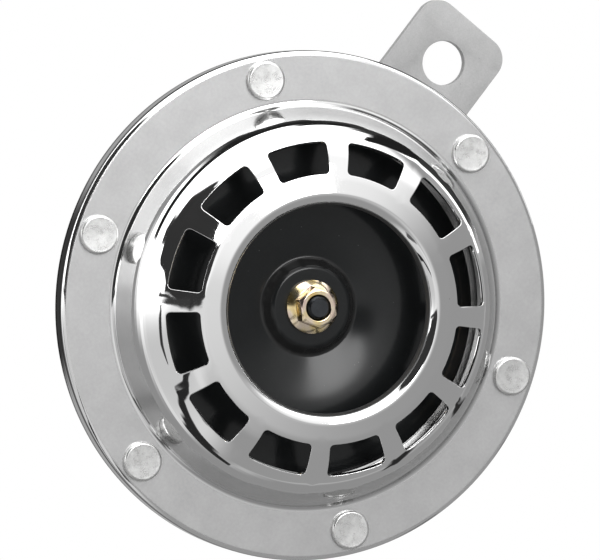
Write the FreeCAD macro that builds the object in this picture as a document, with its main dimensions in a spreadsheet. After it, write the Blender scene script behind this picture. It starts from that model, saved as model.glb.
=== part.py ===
import FreeCAD, Part
import math
import os
import Sketcher

# A round electric disc horn for a car, about 110 mm across, on a flat steel bracket.
# Every piece is drawn in one horn frame: the horn's axis is Z, z = 0 is the front face of
# the grille's flat flange, +Z comes out of the mouth and +Y runs up along the bracket.
# At the end each piece is placed so that the centre of the bracket's hole is the origin,
# the bracket stands up along +Z and the mouth faces -Y.

os.makedirs("parts", exist_ok=True)

doc = FreeCAD.newDocument("disc_horn")

# Driving sizes, in millimetres, degrees and counts

SIZES = {
    # Pressed grille cover: outer face of the sheet
    "cover_sheet": 0.8,
    "rim_radius": 55.8,
    "rim_round": 0.4,
    "skirt_depth": 6.5,
    "flange_width": 11.75,
    "wall_foot_round": 1.2,
    "wall_run": 3.05,
    "shoulder_height": 7.4,
    "shoulder_round": 1.2,
    "dome_corner_inset": 5.6,
    "dome_rise": 7.2,
    "dome_round": 11.2,
    "mouth_rise": 1.6,
    "mouth_land": 6.7,
    "lip_round": 1.6,
    "lip_depth": 2.8,
    "slot_count": 12,
    "slot_inset": 4.7,
    "slot_length": 7.0,
    "slot_angle": 22.0,
    "slot_corner": 1.0,
    "cover_angle": 10.2,
    # Rivets that close the rim
    "rivet_count": 6,
    "rivet_offset": 0.275,
    "rivet_shank_radius": 2.25,
    "rivet_head_radius": 4.25,
    "rivet_head_height": 1.3,
    "rivet_head_round": 0.5,
    "rivet_dimple_radius": 2.9,
    "rivet_dimple_depth": 0.12,
    "rivet_dimple_flank": 0.5,
    "rivet_dimple_round": 0.3,
    "rivet_clench_radius": 3.2,
    "rivet_clench_height": 1.4,
    "rivet_clearance": 0.1,
    "small_head_round": 0.3,
    # Clamped stack at the rim
    "stack_clearance": 0.5,
    "gasket_thickness": 0.5,
    "gasket_inset": 1.75,
    "diaphragm_sheet": 0.4,
    "ripple_inset": 2.4,
    "ripple_width": 5.0,
    "ripple_flank": 1.4,
    "ripple_height": 0.35,
    "ripple_round": 1.0,
    # Housing, a stepped steel cup
    "housing_sheet": 1.0,
    "cup_mouth_inset": 4.3,
    "cup_mouth_round": 1.2,
    "ledge_wall_lean": 2.0,
    "ledge_outer_round": 1.5,
    "ledge_depth": 9.3,
    "ledge_width": 12.5,
    "ledge_inner_round": 1.5,
    "cup_wall_lean": 1.4,
    "cup_back_round": 2.0,
    "cup_depth": 15.0,
    # Vibrating unit
    "stud_radius": 2.5,
    "stud_clearance": 0.05,
    "stud_head_radius": 4.2,
    "stud_head_height": 2.0,
    "stud_tip_over_nut": 0.6,
    "stud_tip_chamfer": 0.5,
    "washer_radius": 7.6,
    "washer_thickness": 1.0,
    "armature_radius": 13.5,
    "armature_height": 6.2,
    "armature_chamfer": 0.6,
    "spacer_radius": 5.4,
    "spacer_height": 2.1,
    "tone_sheet": 1.0,
    "tone_boss_radius": 8.9,
    "tone_boss_round": 0.5,
    "tone_groove_run": 1.7,
    "tone_groove_drop": 2.4,
    "tone_groove_round": 1.0,
    "tone_dish_run": 8.9,
    "tone_dish_round": 60.0,
    "tone_rim_drop": 0.2,
    "tone_rim_inset": 3.8,
    "nut_across_flats": 8.0,
    "nut_height": 5.0,
    "nut_flange_radius": 5.9,
    "nut_flange_edge": 0.8,
    "nut_flange_top_radius": 4.5,
    "nut_flange_height": 1.7,
    "nut_flange_round": 0.3,
    "nut_angle": 13.4,
    "hexagon_face_ratio": 0.95,
    "hexagon_chamfer_angle": 30.0,
    "cut_overshoot": 0.5,
    # Magnet
    "air_gap": 0.8,
    "core_radius": 8.0,
    "core_chamfer": 0.5,
    "mount_stud_radius": 3.95,
    "mount_stud_clearance": 0.15,
    "mount_stud_length": 17.0,
    "mount_stud_chamfer": 0.8,
    "bobbin_wall": 1.0,
    "bobbin_clearance": 0.1,
    "bobbin_inset": 2.2,
    "bobbin_flange": 1.2,
    "winding_inset": 1.6,
    "plate_thickness": 1.5,
    "plate_inset": 2.3,
    "pole_overlap": 2.5,
    "plate_neck_gap": 5.2,
    "plate_rivet_count": 3,
    "plate_rivet_angle": 15.0,
    "plate_rivet_radius": 1.5,
    "plate_rivet_head_radius": 2.6,
    "plate_rivet_head_height": 0.9,
    # Contact breaker, on the plate along +X
    "contact_width": 7.0,
    "contact_stack_inset": 2.5,
    "contact_stack_length": 9.0,
    "contact_rivet_edge": 2.1,
    "contact_rivet_radius": 1.2,
    "contact_rivet_head_radius": 1.7,
    "contact_rivet_head_height": 0.8,
    "leaf_thickness": 0.3,
    "leaf_underlap": 1.9,
    "base_insulator": 0.5,
    "middle_insulator": 1.5,
    "top_insulator": 0.6,
    "insulator_overhang": 0.5,
    "arm_thickness": 0.8,
    "arm_overhang": 3.0,
    "arm_wing_edge": 4.0,
    "contact_point_offset": 4.7,
    "contact_point_radius": 1.5,
    "screw_angle": 28.1,
    "screw_radius": 2.0,
    "screw_head_radius": 3.4,
    "screw_head_height": 2.2,
    "screw_stand_off": 1.2,
    "screw_slot_width": 0.9,
    "screw_slot_depth": 1.1,
    "screw_cap_height": 0.6,
    "screw_cap_radius": 1.9,
    "bush_radius": 3.1,
    "bush_flange_radius": 4.1,
    "bush_flange": 1.4,
    "bush_upstand": 0.5,
    # Terminals, on the ledge's back below the axis
    "block_half_width": 15.5,
    "block_inset": 3.4,
    "block_depth": 7.8,
    "block_height": 6.5,
    "block_round": 1.2,
    "neck_side_inset": 6.2,
    "neck_inset": 1.8,
    "neck_depth": 3.4,
    "neck_upstand": 1.4,
    "neck_clearance": 0.15,
    "blade_width": 6.3,
    "blade_thickness": 0.8,
    "blade_spacing": 11.0,
    "blade_length": 8.5,
    "blade_chamfer": 1.0,
    "blade_inner_length": 1.6,
    "terminal_rivet_edge": 3.1,
    "terminal_rivet_inset": 2.2,
    "terminal_rivet_radius": 1.5,
    "terminal_rivet_head_radius": 2.5,
    "terminal_rivet_head_height": 0.9,
    # Bracket and its fixings, behind the housing
    "bracket_thickness": 2.0,
    "bracket_width": 23.4,
    "bracket_reach": 67.5,
    "bracket_end": 11.4,
    "bracket_corner": 5.0,
    "bracket_hole_radius": 5.0,
    "bracket_foot_flat": 0.4,
    "backing_radius": 11.0,
    "backing_thickness": 1.5,
    "flat_washer_radius": 8.0,
    "flat_washer_thickness": 1.6,
    "spring_washer_radius": 7.2,
    "spring_washer_thickness": 2.0,
    "spring_washer_gap": 1.2,
    "big_nut_across_flats": 13.0,
    "big_nut_height": 6.5,
    "washer_clearance": 0.3,
}

sheet = doc.addObject("Spreadsheet::Sheet", "sizes")
for row, (alias, number) in enumerate(SIZES.items(), start=1):
    sheet.set(f"A{row}", alias)
    sheet.set(f"B{row}", str(number))
    sheet.setAlias(f"B{row}", alias)
doc.recompute()


def formula_of(number):
    """The text by which a sheet formula writes a number."""
    if isinstance(number, Size):
        return number.formula
    return repr(float(number))


class Size(float):
    """A number that remembers the sheet formula it is worked out from."""

    def __new__(cls, number, formula):
        made = float.__new__(cls, number)
        made.formula = formula
        return made

    def __add__(self, other):
        return Size(float(self) + float(other), f"({self.formula} + {formula_of(other)})")

    def __radd__(self, other):
        return Size(float(other) + float(self), f"({formula_of(other)} + {self.formula})")

    def __sub__(self, other):
        return Size(float(self) - float(other), f"({self.formula} - {formula_of(other)})")

    def __rsub__(self, other):
        return Size(float(other) - float(self), f"({formula_of(other)} - {self.formula})")

    def __mul__(self, other):
        return Size(float(self) * float(other), f"({self.formula} * {formula_of(other)})")

    def __rmul__(self, other):
        return self * other

    def __truediv__(self, other):
        return Size(float(self) / float(other), f"({self.formula} / {formula_of(other)})")

    def __neg__(self):
        return Size(-float(self), f"(0 - {self.formula})")


def size(alias):
    """A driving size, read from the sheet."""
    return Size(float(getattr(sheet, alias)), f"sizes.{alias}")


def bind(item, path, number):
    """Ties a property to the sheet, or sets it where the number is fixed."""
    if isinstance(number, Size):
        item.setExpression(path, number.formula)
    else:
        setattr(item, path, number)


# Levels along the axis, worked out from the sizes

cover_back = -size("cover_sheet")
diaphragm_front = cover_back - size("gasket_thickness")
diaphragm_back = diaphragm_front - size("diaphragm_sheet")
flange_front = diaphragm_back - size("gasket_thickness")
flange_back = flange_front - size("housing_sheet")
ledge_back = flange_back - size("ledge_depth")
ledge_front = ledge_back + size("housing_sheet")
housing_back = ledge_back - size("cup_depth")
housing_floor = housing_back + size("housing_sheet")
plate_front = ledge_front + size("plate_thickness")

front_washer_top = diaphragm_front + size("washer_thickness")
tone_boss_back = front_washer_top + size("spacer_height")
tone_boss_front = tone_boss_back + size("tone_sheet")
nut_top = tone_boss_front + size("nut_height")
stud_tip = nut_top + size("stud_tip_over_nut")
armature_front = diaphragm_back - size("washer_thickness")
armature_back = armature_front - size("armature_height")
core_front = armature_back - size("air_gap")

leaf_back = plate_front + size("base_insulator")
leaf_front = leaf_back + size("leaf_thickness")
arm_back = leaf_front + size("middle_insulator")
arm_front = arm_back + size("arm_thickness")
contact_stack_top = arm_front + size("top_insulator")
contact_meeting = (leaf_front + arm_back) / 2

bracket_front = housing_back - size("backing_thickness")
bracket_back = bracket_front - size("bracket_thickness")
bracket_middle = (bracket_front + bracket_back) / 2
flat_washer_back = bracket_back - size("flat_washer_thickness")
spring_washer_back = flat_washer_back - size("spring_washer_thickness")
big_nut_back = spring_washer_back - size("big_nut_height")
mount_stud_end = housing_floor - size("housing_sheet") - size("mount_stud_length")

# Radii and distances from the axis, each stepped in from the rim or the piece beside it

wall_foot_radius = size("rim_radius") - size("flange_width")
shoulder_radius = wall_foot_radius - size("wall_run")
dome_corner_radius = shoulder_radius - size("dome_corner_inset")
dome_corner_height = size("shoulder_height") + size("dome_rise")
mouth_height = dome_corner_height + size("mouth_rise")
slot_outer_radius = shoulder_radius - size("slot_inset")
slot_inner_radius = slot_outer_radius - size("slot_length")
mouth_radius = slot_inner_radius - size("mouth_land")
rivet_circle = (wall_foot_radius + size("rim_radius")) / 2 + size("rivet_offset")

stack_radius = size("rim_radius") - size("cover_sheet") - size("stack_clearance")
gasket_inner_radius = wall_foot_radius + size("gasket_inset")
ripple_outer_radius = gasket_inner_radius - size("ripple_inset")
ripple_inner_radius = ripple_outer_radius - size("ripple_width")

cup_mouth_radius = gasket_inner_radius - size("cup_mouth_inset")
ledge_outer_radius = cup_mouth_radius - size("ledge_wall_lean")
ledge_inner_radius = ledge_outer_radius - size("ledge_width")
ledge_middle_radius = (ledge_outer_radius + ledge_inner_radius) / 2
cup_back_radius = ledge_inner_radius - size("cup_wall_lean")
bobbin_flange_radius = cup_back_radius - size("housing_sheet") - size("bobbin_inset")

contact_stack_outer = ledge_outer_radius - size("contact_stack_inset")
contact_stack_inner = contact_stack_outer - size("contact_stack_length")
contact_rivet_places = (
    contact_stack_inner + size("contact_rivet_edge"),
    contact_stack_outer - size("contact_rivet_edge"),
)
contact_point_place = size("armature_radius") + size("contact_point_offset")
screw_turn = math.radians(float(size("screw_angle")))
screw_x = ledge_middle_radius * math.cos(screw_turn)
screw_y = ledge_middle_radius * -math.sin(screw_turn)

block_top = ledge_inner_radius + size("block_inset")
block_bottom = block_top + size("block_depth")
neck_half_width = size("block_half_width") - size("neck_side_inset")
neck_top = block_top + size("neck_inset")
neck_bottom = neck_top + size("neck_depth")
terminal_rivet_x = size("block_half_width") - size("terminal_rivet_edge")
terminal_rivet_y = block_top + size("terminal_rivet_inset")

mount_hole_radius = size("mount_stud_radius") + size("mount_stud_clearance")
stud_hole_radius = size("stud_radius") + size("stud_clearance")
rivet_hole_radius = size("rivet_shank_radius") + size("rivet_clearance")
bush_hole_radius = size("bush_radius") + size("rivet_clearance")
contact_hole_radius = size("contact_rivet_radius") + size("rivet_clearance")

XY, XZ = "XY_Plane", "XZ_Plane"
START, END, CENTRE = range(1, 4)
ROOT_POINT = (-1, START)
OUTWARD = FreeCAD.Vector(0, 0, 1)


class Outline:
    """The edges and rules of one sketch, gathered first and written in one go."""

    def __init__(self):
        self.edges = []
        self.rules = []

    def edge(self, shape, helper=False):
        self.edges.append((shape, helper))
        return len(self.edges) - 1

    def rule(self, kind, *where, number=None):
        self.rules.append((kind, where, number))

    def place(self, edge, end, x, y):
        """Holds one end of an edge at a distance right of and above the sketch's centre."""
        self.rule("DistanceX", *ROOT_POINT, edge, end, number=x)
        self.rule("DistanceY", *ROOT_POINT, edge, end, number=y)

    def arc(self, centre, radius, start, end):
        """An arc that runs anticlockwise from start to end."""
        first = math.atan2(start.y - centre.y, start.x - centre.x)
        last = math.atan2(end.y - centre.y, end.x - centre.x)
        if last <= first:
            last += 2 * math.pi
        circle = Part.Circle(centre, OUTWARD, float(radius))
        return self.edge(Part.ArcOfCircle(circle, first, last))

    def write(self, body, name, plane):
        sketch = body.newObject("Sketcher::SketchObject", name)
        sketch.AttachmentSupport = (origin_plane(body, plane), [""])
        sketch.MapMode = "FlatFace"
        for shape, helper in self.edges:
            sketch.addGeometry(shape, helper)
        made = []
        for kind, where, number in self.rules:
            numbers = [] if number is None else [float(number)]
            made.append(Sketcher.Constraint(kind, *where, *numbers))
        sketch.addConstraint(made)
        for at, (kind, where, number) in enumerate(self.rules):
            if isinstance(number, Size):
                sketch.setExpression(f"Constraints[{at}]", number.formula)
        doc.recompute([sketch])
        return sketch


def origin_plane(body, role):
    for item in body.Origin.OriginFeatures:
        if item.Role == role:
            return item
    raise ValueError(role)


def point(x, y):
    return FreeCAD.Vector(float(x), float(y), 0)


def bend(before, at, after, radius):
    """Where a corner's arc starts and ends, its centre, and 1 if it turns left or -1."""
    into = (at - before).normalize()
    out = (after - at).normalize()
    turn = math.atan2(into.x * out.y - into.y * out.x, into.dot(out))
    trim = radius * math.tan(abs(turn) / 2)
    side = 1 if turn > 0 else -1
    start = at - into * trim
    centre = start + point(-into.y, into.x) * (radius * side)
    return start, at + out * trim, centre, side


def run_of_lines(outline, corners, closed, placed=True):
    """Lines from corner to corner, with a tangent arc where a corner states a radius.

    A corner is (x, y) or (x, y, radius). Where placed is False, the lines get their
    places from other rules.
    """
    spots = [point(x, y) for x, y, *_ in corners]
    count = len(corners)
    rounds = []
    for at, (x, y, *radius) in enumerate(corners):
        if radius and (closed or 0 < at < count - 1):
            found = bend(spots[at - 1], spots[at], spots[(at + 1) % count], float(radius[0]))
            rounds.append((*found, radius[0]))
        else:
            rounds.append(None)
    lines = []
    for at in range(count if closed else count - 1):
        after = (at + 1) % count
        start = rounds[at][1] if rounds[at] else spots[at]
        end = rounds[after][0] if rounds[after] else spots[after]
        lines.append(outline.edge(Part.LineSegment(start, end)))
    for at, (x, y, *_) in enumerate(corners):
        into = lines[at - 1] if closed or at > 0 else None
        out = lines[at] if at < len(lines) else None
        if rounds[at]:
            start, end, centre, side, radius = rounds[at]
            first, last = (start, end) if side > 0 else (end, start)
            arc = outline.arc(centre, radius, first, last)
            outline.rule("Tangent", into, END, arc, START if side > 0 else END)
            outline.rule("Tangent", arc, END if side > 0 else START, out, START)
            outline.rule("Radius", arc, number=radius)
            if placed:
                mark = outline.edge(Part.Point(spots[at]), helper=True)
                outline.rule("PointOnObject", mark, START, into)
                outline.rule("PointOnObject", mark, START, out)
                outline.place(mark, START, x, y)
            continue
        if into is not None and out is not None:
            outline.rule("Coincident", into, END, out, START)
        if placed and out is not None:
            outline.place(out, START, x, y)
        elif placed:
            outline.place(into, END, x, y)
    return lines


def closed_sketch(body, name, plane, corners):
    outline = Outline()
    run_of_lines(outline, corners, closed=True)
    return outline.write(body, name, plane)


def offset_corners(corners, distance):
    """The corners of a run that lies at a distance to the left, by plain numbers."""
    spots = [point(x, y) for x, y, *_ in corners]
    ways = [(b - a).normalize() for a, b in zip(spots, spots[1:])]
    moved = []
    for at, spot in enumerate(spots):
        into = ways[max(at - 1, 0)]
        out = ways[min(at, len(ways) - 1)]
        left, next_left = point(-into.y, into.x), point(-out.y, out.x)
        across = (left + next_left) * (distance / (1 + left.dot(next_left)))
        moved.append(spot + across)
    return moved


def sheet_sketch(body, name, run, thickness):
    """A drawn sheet in section: its outer face is the run, and the metal lies to the left.

    The radius at a corner is that of the bend's inside, on whichever face it is.
    """
    spots = [point(x, y) for x, y, *_ in run]
    moved = offset_corners(run, float(thickness))
    skin, lining = [], []
    for at, (x, y, *radius) in enumerate(run):
        skin_radius, lining_radius = radius, radius
        if radius:
            side = bend(spots[at - 1], spots[at], spots[at + 1], 1.0)[3]
            larger = [radius[0] + thickness]
            skin_radius, lining_radius = (larger, radius) if side > 0 else (radius, larger)
        skin.append((x, y, *skin_radius))
        lining.append((moved[at].x, moved[at].y, *lining_radius))
    outline = Outline()
    face = run_of_lines(outline, skin, closed=False)
    back = run_of_lines(outline, lining, closed=False, placed=False)
    for outer, inner in zip(face, back):
        outline.rule("Parallel", outer, inner)
        outline.rule("Distance", inner, START, outer, number=thickness)
    for outer, inner, end, at in ((face[0], back[0], START, 0), (face[-1], back[-1], END, -1)):
        cap = outline.edge(Part.LineSegment(spots[at], moved[at]))
        outline.rule("Coincident", cap, START, outer, end)
        outline.rule("Coincident", cap, END, inner, end)
        outline.rule("Perpendicular", cap, outer)
    return outline.write(body, name, XZ)


# Features

parts = []


def new_body(name, turn=None):
    """A body of its own for one piece; turn sets it round the horn's axis, clockwise."""
    body = doc.addObject("PartDesign::Body", name)
    body.Label = name
    parts.append((body, turn))
    return body


def turned(body, sketch, name="Turned"):
    """Turns a section drawn beside the Z axis through a full circle."""
    feature = body.newObject("PartDesign::Revolution", name)
    feature.Profile = sketch
    feature.ReferenceAxis = (sketch, ["V_Axis"])
    feature.Angle = 360
    sketch.Visibility = False
    doc.recompute()
    return feature


def grooved(body, corners, name):
    """Cuts a ring of the given section, drawn beside the Z axis."""
    before = body.Shape.Volume
    feature = body.newObject("PartDesign::Groove", name)
    feature.Profile = closed_sketch(body, f"{name}Sketch", XZ, corners)
    feature.ReferenceAxis = (feature.Profile[0], ["V_Axis"])
    feature.Angle = 360
    doc.recompute()
    check_cut(body, name, before)
    return feature


def padded(body, sketch, bottom, top, name="Pad"):
    """Raises a section drawn on the XY plane from one level to another."""
    sketch.setExpression(".AttachmentOffset.Base.z", formula_of(bottom))
    feature = body.newObject("PartDesign::Pad", name)
    feature.Profile = sketch
    bind(feature, "Length", top - bottom)
    doc.recompute()
    return feature


def check_cut(body, name, before):
    after = body.Shape.Volume
    if not after < before - 1e-6:
        raise ValueError(f"{body.Label}: {name} cuts nothing")


def pocketed(body, sketch, name):
    """Cuts a section drawn on the XY plane right through the piece, both ways."""
    before = body.Shape.Volume
    feature = body.newObject("PartDesign::Pocket", name)
    feature.Profile = sketch
    feature.Type = "ThroughAll"
    feature.SideType = "Symmetric"
    doc.recompute()
    check_cut(body, name, before)
    return feature


def repeated(body, feature, count, name):
    """Repeats a cut round the Z axis."""
    before = body.Shape.Volume
    pattern = body.newObject("PartDesign::PolarPattern", name)
    pattern.Originals = [feature]
    pattern.Axis = (feature.Profile[0], ["N_Axis"])
    pattern.Angle = 360
    bind(pattern, "Occurrences", count)
    body.Tip = pattern
    doc.recompute()
    check_cut(body, name, before)
    return pattern


def circle_sketch(body, name, radius, x=0.0, y=0.0):
    """A circle on the XY plane."""
    outline = Outline()
    ring = outline.edge(Part.Circle(point(x, y), OUTWARD, float(radius)))
    outline.rule("Radius", ring, number=radius)
    outline.place(ring, CENTRE, x, y)
    return outline.write(body, name, XY)


def drilled(body, name, radius, x=0.0, y=0.0):
    return pocketed(body, circle_sketch(body, f"{name}Sketch", radius, x, y), name)


def ring_body(name, inner, outer, bottom, top, turn=None):
    """A flat ring or a plain turned sleeve."""
    body = new_body(name, turn)
    corners = [(inner, bottom), (outer, bottom), (outer, top), (inner, top)]
    turned(body, closed_sketch(body, "Section", XZ, corners))
    return body


def box_corners(left, right, low, high, *radius):
    """The four corners of a rectangle, each with the same radius if one is given."""
    return [(left, low, *radius), (right, low, *radius), (right, high, *radius), (left, high, *radius)]


def plate_body(name, corners, bottom, top):
    body = new_body(name)
    padded(body, closed_sketch(body, "Shape", XY, corners), bottom, top)
    return body


def hexagon(body, across_flats, bottom, top, name="Hexagon"):
    """A hexagon bar with two flats square to X."""
    prism = body.newObject("PartDesign::AdditivePrism", name)
    prism.AttachmentSupport = (origin_plane(body, XY), [""])
    prism.MapMode = "FlatFace"
    prism.Polygon = 6
    prism.AttachmentOffset = FreeCAD.Placement(point(0, 0), FreeCAD.Rotation(OUTWARD, 30))
    bind(prism, "Circumradius", across_flats / math.sqrt(3))
    bind(prism, "Height", top - bottom)
    prism.setExpression(".AttachmentOffset.Base.z", formula_of(bottom))
    doc.recompute()
    return prism


def corners_chamfered(body, across_flats, level, outwards, name):
    """Turns the corners of a hexagon down at its end at the given level."""
    overshoot = size("cut_overshoot")
    slope = math.tan(math.radians(float(size("hexagon_chamfer_angle"))))
    reach = across_flats / math.sqrt(3) + overshoot
    foot = across_flats * size("hexagon_face_ratio") / 2
    drop = (reach - foot) * slope * outwards
    proud = level + overshoot * outwards
    corners = [(foot, proud), (foot, level), (reach, level - drop), (reach, proud)]
    grooved(body, corners, name)


# Pressed grille cover

def slot_sketch(body):
    """One slot of the grille: a piece of a ring with radial ends and small round corners."""
    inner, outer = slot_inner_radius, slot_outer_radius
    corner, angle = size("slot_corner"), size("slot_angle")
    half = math.radians(float(angle) / 2)

    def corner_centre(radius, side):
        spread = half - math.asin(float(corner) / radius)
        return point(side * radius * math.sin(spread), radius * math.cos(spread))

    def on_side(centre, side):
        along = point(side * math.sin(half), math.cos(half))
        return along * centre.dot(along)

    outline = Outline()
    far, near = float(outer - corner), float(inner + corner)
    arcs = {}
    sides = {}
    for side in (-1, 1):
        for radius, rim in ((far, float(outer)), (near, float(inner))):
            centre = corner_centre(radius, side)
            touch = centre * (rim / radius)
            edge = on_side(centre, side)
            ends = (edge, touch) if (side > 0) == (radius == far) else (touch, edge)
            arcs[side, radius] = (outline.arc(centre, corner, *ends), touch, edge)
        low, high = arcs[side, near][2], arcs[side, far][2]
        sides[side] = outline.edge(Part.LineSegment(low, high))
    top = outline.arc(point(0, 0), outer, arcs[1, far][1], arcs[-1, far][1])
    bottom = outline.arc(point(0, 0), inner, arcs[1, near][1], arcs[-1, near][1])
    for arc, number in ((top, outer), (bottom, inner)):
        outline.rule("Coincident", arc, CENTRE, *ROOT_POINT)
        outline.rule("Radius", arc, number=number)
    for side in (-1, 1):
        touch_end = START if side > 0 else END
        far_arc, near_arc = arcs[side, far][0], arcs[side, near][0]
        outline.rule("Tangent", far_arc, END if side > 0 else START, top, touch_end)
        outline.rule("Tangent", far_arc, START if side > 0 else END, sides[side], END)
        outline.rule("Tangent", near_arc, START if side > 0 else END, bottom, touch_end)
        outline.rule("Tangent", near_arc, END if side > 0 else START, sides[side], START)
        outline.rule("PointOnObject", *ROOT_POINT, sides[side])
        outline.rule("Radius", far_arc, number=corner)
        outline.rule("Radius", near_arc, number=corner)
    sketch = outline.write(body, "SlotSketch", XY)
    for side in (-1, 1):
        lean = 90.0 - angle / 2 * side
        at = sketch.addConstraint(Sketcher.Constraint("Angle", sides[side], math.radians(float(lean))))
        sketch.setExpression(f"Constraints[{at}]", lean.formula)
    return sketch


def rivet_holes(body):
    """The six rivet holes, which line up through every sheet and gasket at the rim."""
    hole = drilled(body, "RivetHole", rivet_hole_radius, y=rivet_circle)
    return repeated(body, hole, size("rivet_count"), "RivetHoles")


def make_grille_cover():
    body = new_body("grille_cover", size("cover_angle"))
    skin = [
        (size("rim_radius"), -size("skirt_depth")),
        (size("rim_radius"), 0.0, size("rim_round")),
        (wall_foot_radius, 0.0, size("wall_foot_round")),
        (shoulder_radius, size("shoulder_height"), size("shoulder_round")),
        (dome_corner_radius, dome_corner_height, size("dome_round")),
        (mouth_radius, mouth_height, size("lip_round")),
        (mouth_radius, mouth_height - size("lip_depth")),
    ]
    turned(body, sheet_sketch(body, "Section", skin, size("cover_sheet")), "Pressing")
    slot = pocketed(body, slot_sketch(body), "Slot")
    repeated(body, slot, size("slot_count"), "Slots")
    rivet_holes(body)


# Rivets at the rim: a dimpled head in front, a clench behind the housing's flange

def make_flange_rivets():
    body = doc.addObject("PartDesign::Body", "rivet_form")
    head = size("rivet_head_radius")
    top = size("rivet_head_height")
    dimple, dimple_round = size("rivet_dimple_radius"), size("rivet_dimple_round")
    floor = top - size("rivet_dimple_depth")
    shank = size("rivet_shank_radius")
    clench = flange_back - size("rivet_clench_height")
    section = [
        (0.0, clench),
        (size("rivet_clench_radius"), clench, size("rivet_head_round")),
        (size("rivet_clench_radius"), flange_back),
        (shank, flange_back),
        (shank, 0.0),
        (head, 0.0),
        (head, top, size("rivet_head_round")),
        (dimple, top, dimple_round),
        (dimple - size("rivet_dimple_flank"), floor, dimple_round),
        (0.0, floor),
    ]
    turned(body, closed_sketch(body, "Section", XZ, section))
    ring = doc.addObject("Part::Feature", "flange_rivets")
    ring.Label = "flange_rivets"
    count = round(size("rivet_count"))
    copies = []
    for at in range(count):
        copy = body.Shape.copy()
        copy.translate(point(0, rivet_circle))
        copy.rotate(FreeCAD.Vector(0, 0, 0), OUTWARD, -360.0 * at / count)
        copies.append(copy)
    ring.Shape = Part.makeCompound(copies)
    parts.append((ring, size("cover_angle")))


# Gaskets and diaphragm, clamped at the rim

def make_gaskets():
    for name, bottom, top in (
        ("front_gasket", diaphragm_front, cover_back),
        ("rear_gasket", flange_front, diaphragm_back),
    ):
        body = ring_body(
            name, gasket_inner_radius, stack_radius, bottom, top, size("cover_angle")
        )
        rivet_holes(body)


def make_diaphragm():
    """A thin spring steel disc, clamped at the rim, with one shallow ripple to let it flex."""
    body = new_body("diaphragm", size("cover_angle"))
    flank, curve = size("ripple_flank"), size("ripple_round")
    crest = diaphragm_front + size("ripple_height")
    skin = [
        (stack_radius, diaphragm_front),
        (ripple_outer_radius, diaphragm_front, curve),
        (ripple_outer_radius - flank, crest, curve),
        (ripple_inner_radius + flank, crest, curve),
        (ripple_inner_radius, diaphragm_front, curve),
        (stud_hole_radius, diaphragm_front),
    ]
    turned(body, sheet_sketch(body, "Section", skin, size("diaphragm_sheet")), "Disc")
    rivet_holes(body)


# Housing: flange, wide cup, ledge and magnet cup drawn from one sheet

def make_housing():
    body = new_body("housing")
    skin = [
        (mount_hole_radius, housing_back),
        (cup_back_radius, housing_back, size("cup_back_round")),
        (ledge_inner_radius, ledge_back, size("ledge_inner_round")),
        (ledge_outer_radius, ledge_back, size("ledge_outer_round")),
        (cup_mouth_radius, flange_back, size("cup_mouth_round")),
        (stack_radius, flange_back),
    ]
    turned(body, sheet_sketch(body, "Section", skin, size("housing_sheet")), "Pressing")
    turn = math.radians(float(size("cover_angle")))
    x, y = rivet_circle * math.sin(turn), rivet_circle * math.cos(turn)
    hole = drilled(body, "RivetHole", rivet_hole_radius, x, y)
    repeated(body, hole, size("rivet_count"), "RivetHoles")
    plate_rivet_holes(body)
    contact_rivet_holes(body)
    drilled(body, "BushHole", bush_hole_radius, screw_x, screw_y)
    gap = size("neck_clearance")
    half = neck_half_width + gap
    neck = box_corners(-half, half, -neck_bottom - gap, -neck_top + gap)
    pocketed(body, closed_sketch(body, "NeckHoleSketch", XY, neck), "NeckHole")
    for side in (-1, 1):
        terminal_rivet_hole(body, side)


def terminal_rivet_hole(body, side):
    name = "LeftRivetHole" if side < 0 else "RightRivetHole"
    radius = size("terminal_rivet_radius") + size("rivet_clearance")
    drilled(body, name, radius, terminal_rivet_x * side, -terminal_rivet_y)


def plate_rivet_places():
    """The middles of the rivets that hold the plate, evenly round the axis."""
    count = round(size("plate_rivet_count"))
    for at in range(count):
        angle = math.radians(float(size("plate_rivet_angle")) + 360.0 * at / count)
        yield ledge_middle_radius * math.sin(angle), ledge_middle_radius * math.cos(angle)


def plate_rivet_holes(body):
    radius = size("plate_rivet_radius") + size("rivet_clearance")
    for at, (x, y) in enumerate(plate_rivet_places(), start=1):
        drilled(body, f"PlateRivetHole{at}", radius, x, y)


def contact_rivet_holes(body):
    for at, x in enumerate(contact_rivet_places, start=1):
        drilled(body, f"ContactRivetHole{at}", contact_hole_radius, x, 0.0)


# Tone disc, its spacer and nut

def make_tone_disc():
    """A dished steel disc that rides on the diaphragm and gives the horn its note."""
    body = new_body("tone_disc")
    boss = size("tone_boss_radius")
    groove = boss + size("tone_groove_run")
    rim_level = tone_boss_front - size("tone_rim_drop")
    skin = [
        (shoulder_radius - size("tone_rim_inset"), rim_level),
        (groove + size("tone_dish_run"), rim_level, size("tone_dish_round")),
        (groove, tone_boss_front - size("tone_groove_drop"), size("tone_groove_round")),
        (boss, tone_boss_front, size("tone_boss_round")),
        (stud_hole_radius, tone_boss_front),
    ]
    turned(body, sheet_sketch(body, "Section", skin, size("tone_sheet")), "Pressing")


def make_tone_disc_nut():
    body = new_body("tone_disc_nut", size("nut_angle"))
    bottom = tone_boss_front
    flange, edge = size("nut_flange_radius"), size("nut_flange_edge")
    section = [
        (0.0, bottom),
        (flange, bottom),
        (flange, bottom + edge, size("nut_flange_round")),
        (size("nut_flange_top_radius"), bottom + size("nut_flange_height")),
        (0.0, bottom + size("nut_flange_height")),
    ]
    turned(body, closed_sketch(body, "FlangeSection", XZ, section), "Flange")
    hexagon(body, size("nut_across_flats"), bottom, nut_top)
    corners_chamfered(body, size("nut_across_flats"), nut_top, 1, "TopChamfer")
    drilled(body, "Bore", stud_hole_radius)


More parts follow.
